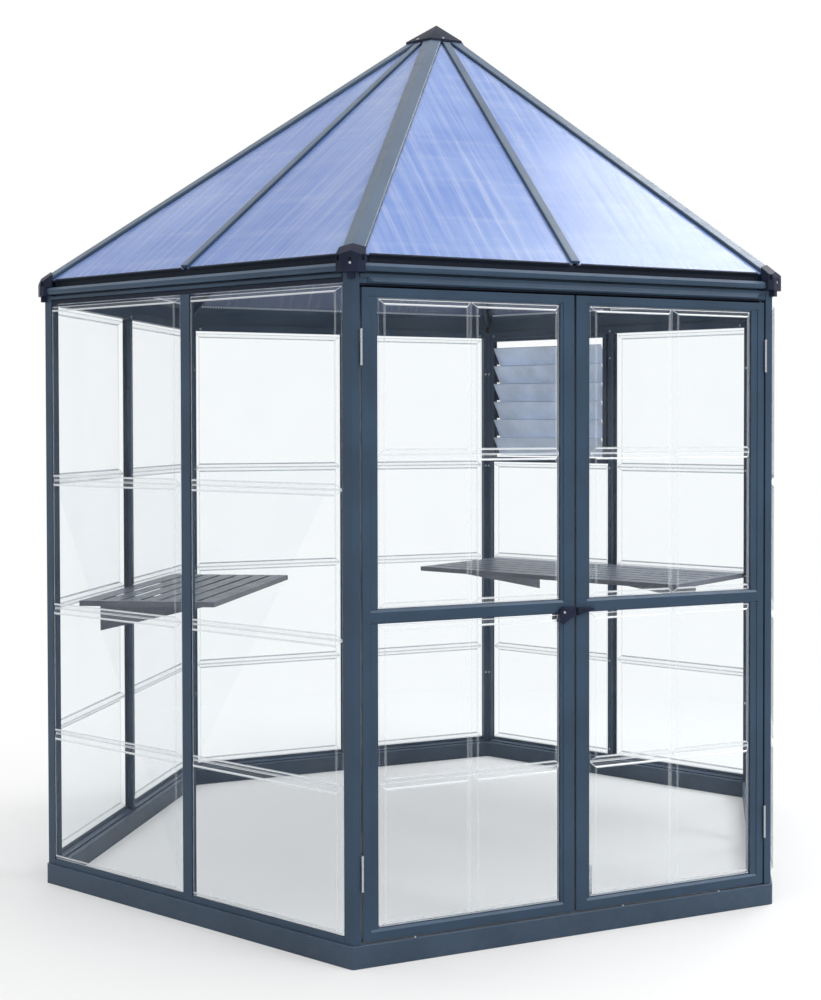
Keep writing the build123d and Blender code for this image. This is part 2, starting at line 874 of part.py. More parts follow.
with BuildPart() as cover_one:
    with BuildSketch(Plane.XY.offset(cover_low)):
        with BuildLine():
            Polyline(
                (facet_radius, -facet_half),
                (facet_radius, facet_half),
                (cheek_radius, cheek_half),
                (mouth_radius, cover_mouth_half),
                (mouth_radius, -cover_mouth_half),
                (cheek_radius, -cheek_half),
                close=True,
            )
        make_face()
    extrude(amount=2 * reach)
    with BuildSketch(crest_plane):
        with BuildLine():
            Polyline(
                (0, 0),
                (reach, -crest_fall * reach),
                (reach, 2 * reach),
                (-reach, 2 * reach),
                (-reach, -crest_fall * reach),
                close=True,
            )
        make_face()
    extrude(amount=4 * reach, mode=Mode.SUBTRACT)
    with BuildSketch(radial_plane):
        with BuildLine():
            Polyline(
                (facet_radius + cover_wall, cover_brow - cover_brow_slope * cover_wall),
                (facet_radius + cover_wall, cover_brow + reach),
                (facet_radius - reach / cover_brow_slope, cover_brow + reach),
                close=True,
            )
        make_face()
    extrude(amount=2 * reach, mode=Mode.SUBTRACT)
    with BuildSketch(Plane.XY.offset(cover_floor)):
        with BuildLine():
            Polyline(
                (cavity_radius, -cavity_half),
                (cavity_radius, cavity_half),
                (cavity_far, reach),
                (cavity_far - reach, reach),
                (cavity_far - reach, -reach),
                (cavity_far, -reach),
                close=True,
            )
        make_face()
    extrude(amount=cavity_top - cover_floor, mode=Mode.SUBTRACT)
    with BuildSketch(Plane.XY.offset(cover_low)):
        with BuildLine():
            Polyline(
                (floor_sharp, 0),
                (floor_far, reach),
                (floor_far - reach, reach),
                (floor_far - reach, -reach),
                (floor_far, -reach),
                close=True,
            )
        make_face()
    extrude(amount=cover_sheet, mode=Mode.SUBTRACT)
    with BuildSketch(hip_plane(hip_low_radius + seat_gap)):
        with BuildLine():
            Polyline(
                *hip_tent(hip_cap_top + seat_gap, hip_cap_half + seat_gap, -hip_web_drop - seat_gap),
                close=True,
            )
        make_face()
    extrude(amount=reach, mode=Mode.SUBTRACT)
    with BuildSketch(Plane.XY.offset(slot_low)):
        for side in (-1, 1):
            with BuildLine():
                Polyline(
                    corner_point(side, slot_near, cover_face + 1),
                    corner_point(side, slot_near + cover_slot_width, cover_face + 1),
                    corner_point(side, slot_near + cover_slot_width, cover_face - cover_slot_deep),
                    corner_point(side, slot_near, cover_face - cover_slot_deep),
                    close=True,
                )
            make_face()
    extrude(amount=cover_slot_high, mode=Mode.SUBTRACT)
    with BuildSketch(Plane.XY.offset(cover_low - tab_drop)):
        tab_sharp = (wall_face + seat_gap) / cos(radians(30))
        with BuildLine():
            Polyline(
                (facet_radius - tab_setback, -tab_half),
                (facet_radius - tab_setback, tab_half),
                (tab_sharp - tab_half / tan(radians(60)), tab_half),
                (tab_sharp, 0),
                (tab_sharp - tab_half / tan(radians(60)), -tab_half),
                close=True,
            )
        make_face()
    extrude(amount=tab_drop)

with BuildPart() as gutter_corners:
    with PolarLocations(0, 6):
        add(cover_one.part)
gutter_corners.part.label = "gutter_corners"


def tray_rows(low, high, grooves):
    """Heights at which each tray starts and ends, with a narrow land at every groove."""
    starts = [low] + [groove + tray_land / 2 for groove in grooves]
    ends = [groove - tray_land / 2 for groove in grooves] + [high]
    return list(zip(starts, ends))


def pressed_pane(plane, left, right, low, high, columns, rows):
    """Thin sheet between the given edges with one raised tray in each column and row."""
    trays = [
        ((col_l + col_r) / 2, (row_l + row_h) / 2, col_r - col_l, row_h - row_l)
        for row_l, row_h in rows
        for col_l, col_r in columns
    ]
    with BuildPart() as pane:
        with BuildSketch(plane):
            with Locations(((left + right) / 2, (low + high) / 2)):
                Rectangle(right - left, high - low)
        extrude(amount=-pane_sheet)
        for middle_x, middle_y, wide, tall in trays:
            with BuildSketch(plane):
                with Locations((middle_x, middle_y)):
                    Rectangle(wide, tall)
            extrude(amount=tray_rise, taper=45)
        for middle_x, middle_y, wide, tall in trays:
            with BuildSketch(plane.offset(-pane_sheet)):
                with Locations((middle_x, middle_y)):
                    Rectangle(wide, tall)
            extrude(amount=tray_rise, taper=45, mode=Mode.SUBTRACT)
    return pane


# Pressed wall panes. Each is one thin sheet with raised trays and V grooves between them
pane_inner = mullion_web / 2 + pane_edge_gap
pane_outer = half_wall - post_leg + slot_deep - pane_edge_gap
pane_bottom = bottom_seat + pane_foot_gap
pane_top = top_rail_low + pane_head
wall_columns = [(mullion_width / 2 + tray_margin, half_wall - post_leg - tray_margin)]
tray_low = bottom_lip_top + tray_foot_gap
full_rows = tray_rows(
    tray_low, top_rail_low - tray_head_gap, [wall_groove_1, wall_groove_2, wall_groove_3]
)
pane_full = pressed_pane(
    face_plane, pane_inner, pane_outer, pane_bottom, pane_top, wall_columns, full_rows
)

low_rows = tray_rows(tray_low, louvre_sill_low - tray_head_gap, [wall_groove_1, wall_groove_2])
pane_low_top = louvre_sill_low - seat_gap
pane_low = pressed_pane(
    face_plane, pane_inner, pane_outer, pane_bottom, pane_low_top, wall_columns, low_rows
)

with BuildPart() as pane_full_left:
    mirror(pane_full.part, about=Plane.YZ)

pane_names = {
    1: "panes_right",
    2: "panes_right_back",
    3: "panes_back",
    4: "panes_left_back",
    5: "panes_left_front",
}
pane_builders = []
for wall, pane_name in pane_names.items():
    with BuildPart() as wall_panes:
        with Locations(wall_turn(wall)):
            add(pane_full_left.part)
            add(pane_low.part if wall == 2 else pane_full.part)
    wall_panes.part.label = pane_name
    pane_builders.append(wall_panes)

# Left door leaf frame. The strips beside the panes lie a step behind the face
door_low = kerb_height + door_kerb_gap
door_high = header_low - door_head_gap
door_hinge_edge = half_wall - jamb_leg - hinge_edge_gap
stile_hinge_inner = door_hinge_edge - hinge_stile
stile_meeting_inner = door_meeting_edge + meeting_stile
strip_left = door_hinge_edge - hinge_stile_outer
strip_right = door_meeting_edge + meeting_stile_outer
door_middle = -(stile_hinge_inner + stile_meeting_inner) / 2
door_clear_width = stile_hinge_inner - stile_meeting_inner
opening_spans = {
    "lower": (door_low + door_bottom_rail, door_mid_rail_low),
    "upper": (door_mid_rail_high, door_high - door_top_rail),
}
opening_edges = [
    (opening_spans["lower"][0], -1),
    (opening_spans["lower"][1], 1),
    (opening_spans["upper"][0], -1),
    (opening_spans["upper"][1], 1),
]
with BuildPart() as door_frame_left:
    with BuildSketch(front_plane):
        with Locations((-(door_hinge_edge + door_meeting_edge) / 2, (door_low + door_high) / 2)):
            Rectangle(door_hinge_edge - door_meeting_edge, door_high - door_low)
        for open_low, open_high in opening_spans.values():
            with Locations((door_middle, (open_low + open_high) / 2)):
                Rectangle(door_clear_width, open_high - open_low, mode=Mode.SUBTRACT)
    extrude(amount=-frame_depth)
    with BuildSketch(front_plane):
        for open_low, open_high in opening_spans.values():
            with Locations((-(strip_left + strip_right) / 2, (open_low + open_high) / 2)):
                Rectangle(strip_left - strip_right, open_high - open_low)
    extrude(amount=-stile_step, mode=Mode.SUBTRACT)
    with BuildSketch(section_plane.offset(strip_right)):
        for edge, way in opening_edges:
            with BuildLine():
                Polyline(
                    (wall_face + 1, edge + way * (bead_high + bead_high / bead_deep)),
                    (wall_face - bead_deep, edge),
                    (wall_face + 1, edge),
                    close=True,
                )
            make_face()
    extrude(amount=strip_left - strip_right, mode=Mode.SUBTRACT)
    with BuildSketch(front_plane.offset(-door_lip)):
        for open_low, open_high in opening_spans.values():
            with Locations((door_middle, (open_low + open_high) / 2)):
                Rectangle(
                    door_clear_width + 2 * door_slot_deep,
                    open_high - open_low + 2 * door_slot_deep,
                )
    extrude(amount=-slot_width, mode=Mode.SUBTRACT)
door_frame_left.part.label = "door_frame_left"

with BuildPart() as door_frame_right:
    mirror(door_frame_left.part, about=Plane.YZ)
door_frame_right.part.label = "door_frame_right"

# Pressed panes of the left leaf, each with four trays
door_pane_plane = front_plane.offset(-door_lip - pane_gap)
leaf_tray_left = -(stile_hinge_inner - door_tray_margin)
leaf_tray_right = -(stile_meeting_inner + door_tray_margin)
leaf_columns = [
    (leaf_tray_left, door_middle - tray_land / 2),
    (door_middle + tray_land / 2, leaf_tray_right),
]
leaf_grooves = {"lower": door_groove_lower, "upper": door_groove_upper}
leaf_panes = {}
for which, (open_low, open_high) in opening_spans.items():
    leaf_rows = tray_rows(
        open_low + door_tray_margin, open_high - door_tray_margin, [leaf_grooves[which]]
    )
    leaf_panes[which] = pressed_pane(
        door_pane_plane,
        -stile_hinge_inner - door_pane_edge,
        -stile_meeting_inner + door_pane_edge,
        open_low - door_pane_edge,
        open_high + door_pane_edge,
        leaf_columns,
        leaf_rows,
    )

with BuildPart() as door_panes_left:
    add(leaf_panes["upper"].part)
    add(leaf_panes["lower"].part)
door_panes_left.part.label = "door_panes_left"

with BuildPart() as door_panes_right:
    mirror(door_panes_left.part, about=Plane.YZ)
door_panes_right.part.label = "door_panes_right"

# Hinges. The plates stand in the gap between jamb and leaf and only the knuckles show
hinge_axis_x = door_hinge_edge + hinge_axis_side
hinge_axis_y = wall_face + hinge_axis_out
plate_centre_y = -hinge_axis_y + hinge_plate_start + hinge_plate_deep / 2
jamb_plate_x = -(half_wall - jamb_leg - seat_gap - hinge_plate_thick / 2)
leaf_plate_x = -(door_hinge_edge + seat_gap + hinge_plate_thick / 2)
lower_knuckle = hinge_length - hinge_upper_share - hinge_split
with BuildPart() as jamb_hinges_left:
    for centre in (hinge_low_centre, hinge_high_centre):
        foot = centre - hinge_length / 2
        with BuildSketch(Plane.XY.offset(foot)):
            with Locations((-hinge_axis_x, -hinge_axis_y)):
                Circle(knuckle_radius)
            with Locations((jamb_plate_x, plate_centre_y - hinge_plate_start / 2)):
                Rectangle(hinge_plate_thick, hinge_plate_deep + hinge_plate_start)
        extrude(amount=lower_knuckle)
        with BuildSketch(Plane.XY.offset(foot)):
            with Locations((-hinge_axis_x, -hinge_axis_y)):
                Circle(knuckle_head_radius)
        extrude(amount=knuckle_head)

with BuildPart() as jamb_hinges:
    add(jamb_hinges_left.part)
    mirror(jamb_hinges_left.part, about=Plane.YZ)
jamb_hinges.part.label = "jamb_hinges"

with BuildPart() as leaf_hinges_left:
    for centre in (hinge_low_centre, hinge_high_centre):
        head = centre + hinge_length / 2
        with BuildSketch(Plane.XY.offset(head - hinge_upper_share)):
            with Locations((-hinge_axis_x, -hinge_axis_y)):
                Circle(knuckle_radius)
            with Locations((leaf_plate_x, plate_centre_y - hinge_plate_start / 2)):
                Rectangle(hinge_plate_thick, hinge_plate_deep + hinge_plate_start)
        extrude(amount=hinge_upper_share)
        with BuildSketch(Plane.XY.offset(head - knuckle_head)):
            with Locations((-hinge_axis_x, -hinge_axis_y)):
                Circle(knuckle_head_radius)
        extrude(amount=knuckle_head)
leaf_hinges_left.part.label = "leaf_hinges_left"

with BuildPart() as leaf_hinges_right:
    mirror(leaf_hinges_left.part, about=Plane.YZ)
leaf_hinges_right.part.label = "leaf_hinges_right"

# Horn-shaped handle on the left leaf, with its grip inside
handle_plane = front_plane.offset(seat_gap)
inside_plane = Plane(
    origin=(0, -frame_back + seat_gap, 0), x_dir=(-1, 0, 0), z_dir=(0, 1, 0)
)
with BuildPart() as door_handle:
    with BuildSketch(handle_plane) as lever_shape:
        with BuildLine():
            Polyline(
                (-door_meeting_edge, handle_height + horn_top),
                (-horn_shoulder, handle_height + horn_top + horn_rise),
                (-horn_reach, handle_height + horn_rise),
                (-horn_reach + 1, handle_height - horn_drop + 2 * horn_rise),
                (-horn_shoulder + 1.5, handle_height - horn_drop),
                (-0.56 * horn_reach, handle_height - horn_drop + horn_top),
                (-0.31 * horn_reach, handle_height - horn_belly),
                (-door_meeting_edge, handle_height - horn_root),
                close=True,
            )
        make_face()
        fillet(lever_shape.vertices().sort_by(Axis.X)[:5], handle_corner)
    extrude(amount=handle_thick)
    chamfer(door_handle.faces().sort_by(Axis.Y)[0].edges(), handle_chamfer)
    with BuildSketch(inside_plane) as grip_shape:
        with BuildLine():
            Polyline(
                (grip_outer, handle_height + grip_top),
                (grip_inner + 3, handle_height + grip_top),
                (grip_inner, handle_height - grip_waist),
                (grip_inner + 7, handle_height - grip_low),
                (grip_outer, handle_height - grip_low),
                close=True,
            )
        make_face()
        fillet(grip_shape.vertices(), grip_corner)
    extrude(amount=handle_thick)
    chamfer(door_handle.faces().sort_by(Axis.Y)[-1].edges(), handle_chamfer)
door_handle.part.label = "door_handle"

# Keeper on the right leaf, tapering to the tip of the horn
with BuildPart() as handle_keeper:
    with BuildSketch(handle_plane):
        with BuildLine():
            Polyline(
                (door_meeting_edge, handle_height + keeper_top),
                (keeper_reach - 1.5, handle_height + keeper_top / 2),
                (keeper_reach, handle_height + 0.5),
                (keeper_reach / 2, handle_height - keeper_belly),
                (door_meeting_edge, handle_height - keeper_root),
                close=True,
            )
        make_face()
    extrude(amount=handle_thick)
    chamfer(handle_keeper.faces().sort_by(Axis.Y)[0].edges(), keeper_chamfer)
handle_keeper.part.label = "handle_keeper"

# Drop bolt inside the foot of the right leaf
with BuildPart() as drop_bolt:
    with BuildSketch(inside_plane):
        with Locations(
            (
                -bolt_middle + bolt_block / 2,
                (bolt_plate_low + bolt_plate_high) / 2,
            )
        ):
            RectangleRounded(bolt_plate_width, bolt_plate_high - bolt_plate_low, 4)
    extrude(amount=bolt_plate_thick)
    with BuildSketch(inside_plane.offset(bolt_plate_thick)):
        with Locations((-bolt_middle, bolt_plate_high - bolt_block)):
            Rectangle(bolt_block, 1.4 * bolt_block)
        with Locations((-bolt_middle, bolt_plate_low + bolt_block)):
            Rectangle(bolt_block, 0.8 * bolt_block)
    extrude(amount=bolt_block_out)
    with BuildSketch(Plane.XY.offset(bolt_rod_foot)):
        with Locations((bolt_middle, -frame_back + seat_gap + bolt_plate_thick + bolt_block_out / 2)):
            Circle(bolt_rod_radius)
    extrude(amount=bolt_plate_high - bolt_rod_foot)
drop_bolt.part.label = "drop_bolt"

# Louvre window frame in the bay of wall 2 nearest the back corner
louvre_left = mullion_width / 2 + seat_gap
louvre_right = half_wall - post_leg - seat_gap
louvre_top = top_rail_low - seat_gap
louvre_sill_high = louvre_sill_low + louvre_sill
louvre_middle = (louvre_left + louvre_right) / 2
with BuildPart() as louvre_frame_one:
    with BuildSketch(front_plane.offset(-face_lip)):
        with Locations((louvre_middle, (louvre_sill_low + louvre_top) / 2)):
            Rectangle(louvre_right - louvre_left, louvre_top - louvre_sill_low)
        with Locations((louvre_middle, (louvre_sill_high + louvre_top - louvre_frame_bar) / 2)):
            Rectangle(
                louvre_right - louvre_left - 2 * louvre_frame_bar,
                louvre_top - louvre_frame_bar - louvre_sill_high,
                mode=Mode.SUBTRACT,
            )
    extrude(amount=-louvre_depth)
with BuildPart() as louvre_frame:
    with Locations(wall_turn(2)):
        add(louvre_frame_one.part)
louvre_frame.part.label = "louvre_frame"

# Saw-toothed holders at both ends of the slats
holder_in = louvre_left + louvre_frame_bar + seat_gap
holder_out = louvre_right - louvre_frame_bar - seat_gap
holder_low = louvre_sill_high + seat_gap
holder_high = louvre_top - louvre_frame_bar - seat_gap
holder_back = frame_back + holder_inset
tooth_root = holder_back + holder_deep
tooth_tip = tooth_root + tooth_out
slat_first = louvre_sill_low + slat_first_rise
tooth = [(holder_back, holder_low), (tooth_root, holder_low)]
for slat in range(slat_count):
    middle = slat_first + slat * slat_pitch
    tooth.append((tooth_root, middle - tooth_low + tooth_flat))
    tooth.append((tooth_tip, middle - tooth_low))
    tooth.append((tooth_tip, middle - tooth_low + tooth_land))
    tooth.append((tooth_root, middle + tooth_high))
tooth.append((tooth_root, holder_high))
tooth.append((holder_back, holder_high))
with BuildPart() as louvre_holder_one:
    with BuildSketch(section_plane.offset(-holder_in - holder_thick)):
        with BuildLine():
            Polyline(*tooth, close=True)
        make_face()
    extrude(amount=holder_thick)
    with BuildSketch(section_plane.offset(-holder_out)):
        with BuildLine():
            Polyline(*tooth, close=True)
        make_face()
    extrude(amount=holder_thick)
with BuildPart() as louvre_holders:
    with Locations(wall_turn(2)):
        add(louvre_holder_one.part)
louvre_holders.part.label = "louvre_holders"

# Slats, tilted with their lower edges outward
slat_in = holder_in + holder_thick + seat_gap
slat_out = holder_out - holder_thick - seat_gap
with BuildPart() as louvre_slats_one:
    for slat in range(slat_count):
        middle = slat_first + slat * slat_pitch
        with BuildSketch(section_plane.offset(-slat_out)):
            with Locations(Location((tooth_root, middle, 0), (0, 0, slat_tilt))):
                Rectangle(slat_thick, slat_high)
        extrude(amount=slat_out - slat_in)
with BuildPart() as louvre_slats:
    with Locations(wall_turn(2)):
        add(louvre_slats_one.part)
louvre_slats.part.label = "louvre_slats"

# Shelf trays along the two back side walls, by wall, ends along it and inner edge
shelf_out = frame_back - seat_gap
shelf_data = (
    ("shelf_left", 4, shelf_left_start, shelf_left_end, shelf_left_inner),
    ("shelf_right", 2, shelf_right_start, shelf_right_end, shelf_right_inner),
)
shelf_builders = []
for shelf_name, wall, start, finish, inner in shelf_data:
    wide = shelf_out - inner
    length = finish - start
    middle = (start + finish) / 2
    with BuildPart() as shelf_flat:
        with BuildSketch(Plane.XY.offset(shelf_top)):
            with Locations((middle, -(inner + shelf_out) / 2)):
                Rectangle(length, wide)
        extrude(amount=-shelf_rim)
        with BuildSketch(Plane.XY.offset(shelf_top - shelf_sheet)):
            with Locations((middle, -(inner + shelf_out) / 2)):
                Rectangle(length - 2 * shelf_sheet, wide - 2 * shelf_sheet)
        extrude(amount=-shelf_rim, mode=Mode.SUBTRACT)
        with BuildSketch(Plane.XY.offset(shelf_top)):
            for slot in range(1, shelf_slats):
                with Locations((middle, -(inner + wide * slot / shelf_slats))):
                    SlotOverall(length - 2 * shelf_slot_end, shelf_slot)
        extrude(amount=-shelf_sheet, mode=Mode.SUBTRACT)
    with BuildPart() as shelf_placed:
        with Locations(wall_turn(wall)):
            add(shelf_flat.part)
    shelf_placed.part.label = shelf_name
    shelf_builders.append(shelf_placed)

# Arms under the shelves, two to each
arm_data = (
    (4, left_arm_back, shelf_left_inner),
    (4, left_arm_front, shelf_left_inner),
    (2, right_arm_front, shelf_right_inner),
    (2, right_arm_back, shelf_right_inner),
)
arm_top = shelf_top - shelf_sheet - seat_gap
arm_wall = frame_back - arm_wall_gap
arm_builders = []
for wall, along, inner in arm_data:
    arm_end = inner + arm_inset
    with BuildPart() as arm_flat:
        with BuildSketch(section_plane.offset(-along - arm_thick / 2)):
            with BuildLine():
                Polyline(
                    (arm_wall, arm_top),
                    (arm_end, arm_top),
                    (arm_end, arm_top - arm_end_drop),
                    (arm_wall, arm_top - arm_wall_drop),
                    close=True,
                )
            make_face()
        extrude(amount=arm_thick)
    arm_builders.append((wall, arm_flat))
with BuildPart() as shelf_arms:
    for wall, arm_flat in arm_builders:
        with Locations(wall_turn(wall)):
            add(arm_flat.part)
shelf_arms.part.label = "shelf_arms"

everything = [
    base_kerb,
    corner_posts,
    mullions,
    bottom_rails,
    top_rails,
    pane_seals,
    door_header,
    header_seal,
    gutters,
    gutter_corners,
    hip_bars,
    mid_bars,
    crown_cap,
    roof_hub,
    door_frame_left,
    door_frame_right,
    door_panes_left,
    door_panes_right,
    jamb_hinges,
    leaf_hinges_left,
    leaf_hinges_right,
    door_handle,
    handle_keeper,
    drop_bolt,
    louvre_frame,
    louvre_holders,
    louvre_slats,
    shelf_arms,
]
everything += roof_builders
everything += pane_builders
everything += shelf_builders
for piece in everything:
    export_step(piece.part, "parts/" + piece.part.label + ".step")
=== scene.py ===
# Studio scene of the hexagonal greenhouse. Metres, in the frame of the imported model.
import json
import math

import bmesh
import bpy
from mathutils import Matrix, Vector


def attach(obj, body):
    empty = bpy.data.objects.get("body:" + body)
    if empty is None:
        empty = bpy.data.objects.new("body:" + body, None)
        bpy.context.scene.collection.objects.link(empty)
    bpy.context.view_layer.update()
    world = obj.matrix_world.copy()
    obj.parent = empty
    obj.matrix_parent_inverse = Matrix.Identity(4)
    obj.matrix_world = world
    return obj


# Colours, as linear light
SKYLIGHT_AND_DUST_COLOUR = (0.19, 0.25, 0.35)
FRAME_COLOUR = (0.031, 0.058, 0.098)
KERB_COLOUR = (0.042, 0.068, 0.106)
PLASTIC_COLOUR = (0.010, 0.013, 0.026)
RUBBER_COLOUR = (0.007, 0.010, 0.018)
STEEL_COLOUR = (0.52, 0.54, 0.58)
PANE_TINT = (0.982, 0.991, 0.995)
PANE_BODY = (0.90, 0.94, 0.97)
ROOF_COLOUR = (0.17, 0.29, 0.70)
ROOF_PALE = (0.31, 0.44, 0.82)
ROOF_TINT = (0.60, 0.74, 1.0)
ROOF_UNDERSIDE_SHADE = (0.085, 0.100, 0.130)
ROOF_STREAK = (0.74, 0.80, 0.92)
ROOF_RING = (0.80, 0.84, 0.92)
ROOF_RIB = (0.20, 0.28, 0.52)
LOUVRE_COLOUR = (0.58, 0.67, 0.82)
LOUVRE_RIB = (0.16, 0.22, 0.33)
EDGE_COLOUR = (0.76, 0.82, 0.90)
EDGE_PALE = (0.94, 0.97, 1.0)
SHELF_COLOUR = (0.130, 0.140, 0.170)
DIRT_COLOUR = (0.20, 0.19, 0.17)
FLOOR_COLOUR = (0.86, 0.86, 0.86)

# Share of painted sky light, with some dust, on surfaces that face up: they are lightened towards a
# pale blue as if lit from above
LEDGE_SKYLIGHT_AND_DUST = 0.42

# Share of a sheet's own body, the rest letting light straight through
PANE_BODY_MOST = 0.9
ROOF_BODY = 0.76
LOUVRE_BODY = 0.74

# Share added to the roof sheets' body on their underside, so that less light comes straight through
# and the underside reads darker: painted shade
ROOF_BODY_SHADED_UNDERSIDE = 0.14

# Half the floor's side
FLOOR_HALF = 60.0

# Lamps: name, place, target, size and power
LAMPS = (
    ("key", (4.5, -6.5, 6.5), (0, 0, 1.2), (3.0, 3.0), 270),
    ("fill", (-7.0, -3.0, 3.5), (0, 0, 1.2), (4.0, 4.0), 6),
    ("top", (4.9, 1.2, 8.0), (0.5, -0.3, 2.1), (3.0, 3.0), 215),
)

# Camera of the photograph
CAMERA_PLACE = (-1.6714, -4.5665, 1.3439)
CAMERA_YAW = 24.649
CAMERA_PITCH = -1.165
CAMERA_LENS = 53.47
CAMERA_SHIFT = (-0.1447, -0.0446)

# Sizes of the model that the small pieces are set out from
FRAME_BACK = 1.027
KERB_TOP = 0.057
ROOF_PEAK = 2.6305
ROOF_FOOT = 1.050
ROOF_RISE = 0.866
ROOF_PITCH = math.atan(ROOF_RISE / ROOF_FOOT)
SHEET_THICK = 0.004
SEAT_INNER = 1.019
FACET_RADIUS = 1.2300
COVER_SCREW_HEIGHT = 1.7400
COVER_DRAIN_HEIGHT = 1.7500
SCREW_SINK = 0.0022
CROWN_TIP = 2.640
CROWN_TIP_HALF = 0.0013
CROWN_SLOPE = 0.7286
SHELF_TOP = 0.810
SHELF_SLATS = 7
HINGE_ALONG = 0.5832
HINGE_DISTANCE = 1.056
HINGE_HEIGHTS = (0.236, 1.536)
HINGE_HALF = 0.044

# Places of the screws and studs: along the wall from its middle, out from the centre, and up
CROWN_SCREW_ALONG = -0.008
CROWN_SCREW_DISTANCE = 0.084
RAIL_SCREW_ALONG = 0.560
RAIL_SCREW_HEIGHT = 1.7035
POST_SCREW_ALONG = 0.585
POST_SCREW_HEIGHTS = (0.34, 0.80, 1.18, 1.55)
MULLION_SCREW_HEIGHTS = (0.10, 0.44, 0.81, 1.18, 1.60)
LEAF_SCREW_ALONG = (0.024, 0.558)
LEAF_SCREW_HEIGHTS = (0.078, 0.869, 1.670)
STUD_ALONG = (-0.445, 0.142, 0.440)
STUD_DISTANCE = 1.0475

# Points of the screws on the handle and the bolt
HANDLE_SCREW = (-0.0365, -1.0633, 0.8555)
BOLT_SCREWS = ((0.0527, -1.0247, 0.1367), (0.0542, -1.0247, 0.0990))

# Holes in the corner covers
COVER_SEAT_RADIUS = 0.0046
COVER_DRAIN_RADIUS = 0.0030
COVER_DRAIN_DEPTH = 0.0050

# Reach of the rubber trim along a wall, and half its break at the middle bar; the trim is partly
# painted shade at the eaves and above the doors
EAVE_SEAL_HALF = 0.560
EAVE_SEAL_BREAK = 0.016
DOOR_STOP_HALF = 0.580

# Rolled bends of the panes, and how far behind the outermost face a bend still counts as a field's
PANE_BEND = 0.0030
FIELD_DEPTH = 0.0050

# Shelves: wall, distance of the inner edge, and the ends along the wall
SHELVES = ((4, 0.605, (-0.380, 0.435)), (2, 0.548, (-0.580, 0.540)))
SHELF_SCREW_INSET = 0.012

# Spacing of the lines in the sheets
RIB_PITCH = 0.006
LOUVRE_RIB_PITCH = 0.011

# Comb of cell walls under the foot of the roof sheets
CELL_FIRST = 0.014
CELL_LAST = 0.562
CELL_PITCH = 0.010
CELL_WIDTH = 0.0052
CELL_HEIGHT = 0.0048
CELL_LENGTH = 0.0050
CELL_SETBACK = 0.0052
CELL_CORNER = 0.0012


# Materials


def new_material(name):
    """A material with its shader, ready for nodes."""
    mat = bpy.data.materials.new(name)
    mat.use_nodes = True
    return mat, mat.node_tree.nodes, mat.node_tree.links, mat.node_tree.nodes["Principled BSDF"]


def noise(nodes, links, place, scale, detail=3.0, rough=0.5):
    """Noise texture's value at a place."""
    node = nodes.new("ShaderNodeTexNoise")
    node.inputs["Scale"].default_value = scale
    node.inputs["Detail"].default_value = detail
    node.inputs["Roughness"].default_value = rough
    links.new(place, node.inputs["Vector"])
    return node.outputs["Fac"]


def ramp(nodes, links, value, low, high, out_low=0.0, out_high=1.0):
    """Maps a value's range onto another, clamped."""
    node = nodes.new("ShaderNodeMapRange")
    for name, number in (
        ("From Min", low),
        ("From Max", high),
        ("To Min", out_low),
        ("To Max", out_high),
    ):
        node.inputs[name].default_value = number
    links.new(value, node.inputs["Value"])
    return node.outputs["Result"]


def maths(nodes, links, kind, a, b=None):
    """A Math node of the given kind, its inputs numbers or other nodes' values."""
    node = nodes.new("ShaderNodeMath")
    node.operation = kind
    for socket, value in zip(node.inputs, (a, b)):
        if value is None:
            continue
        if isinstance(value, (int, float)):
            socket.default_value = value
        else:
            links.new(value, socket)
    return node.outputs[0]


def times(nodes, links, a, b):
    """Product of two numbers or nodes' values."""
    return maths(nodes, links, "MULTIPLY", a, b)


def plus(nodes, links, a, b):
    """Sum of two numbers or nodes' values."""
    return maths(nodes, links, "ADD", a, b)


def blend_colour(nodes, links, share, first, second):
    """Blends two colours, each a tuple or another node's colour."""
    node = nodes.new("ShaderNodeMix")
    node.data_type = "RGBA"
    links.new(share, node.inputs["Factor"])
    for name, value in (("A", first), ("B", second)):
        socket = [s for s in node.inputs if s.name == name and s.type == "RGBA"][0]
        if isinstance(value, tuple):
            socket.default_value = (*value, 1)
        else:
            links.new(value, socket)
    return [s for s in node.outputs if s.type == "RGBA"][0]


def bump(nodes, links, height, strength, distance, shader):
    """Gives a shader a bumped normal."""
    node = nodes.new("ShaderNodeBump")
    node.inputs["Strength"].default_value = strength
    node.inputs["Distance"].default_value = distance
    links.new(height, node.inputs["Height"])
    links.new(node.outputs["Normal"], shader.inputs["Normal"])


def surface_mix(nodes, links, share, first, second):
    """Makes the surface a mix of two shaders, by a number or a node's value."""
    mix = nodes.new("ShaderNodeMixShader")
    if isinstance(share, float):
        mix.inputs[0].default_value = share
    else:
        links.new(share, mix.inputs[0])
    links.new(first.outputs[0], mix.inputs[1])
    links.new(second.outputs[0], mix.inputs[2])
    links.new(mix.outputs[0], nodes["Material Output"].inputs["Surface"])


def object_place(nodes):
    """Place of the shaded point in the object's own frame."""
    return nodes.new("ShaderNodeTexCoord").outputs["Object"]


def split(nodes, links, vector):
    """X, Y and Z of a vector."""
    node = nodes.new("ShaderNodeSeparateXYZ")
    links.new(vector, node.inputs[0])
    return node.outputs


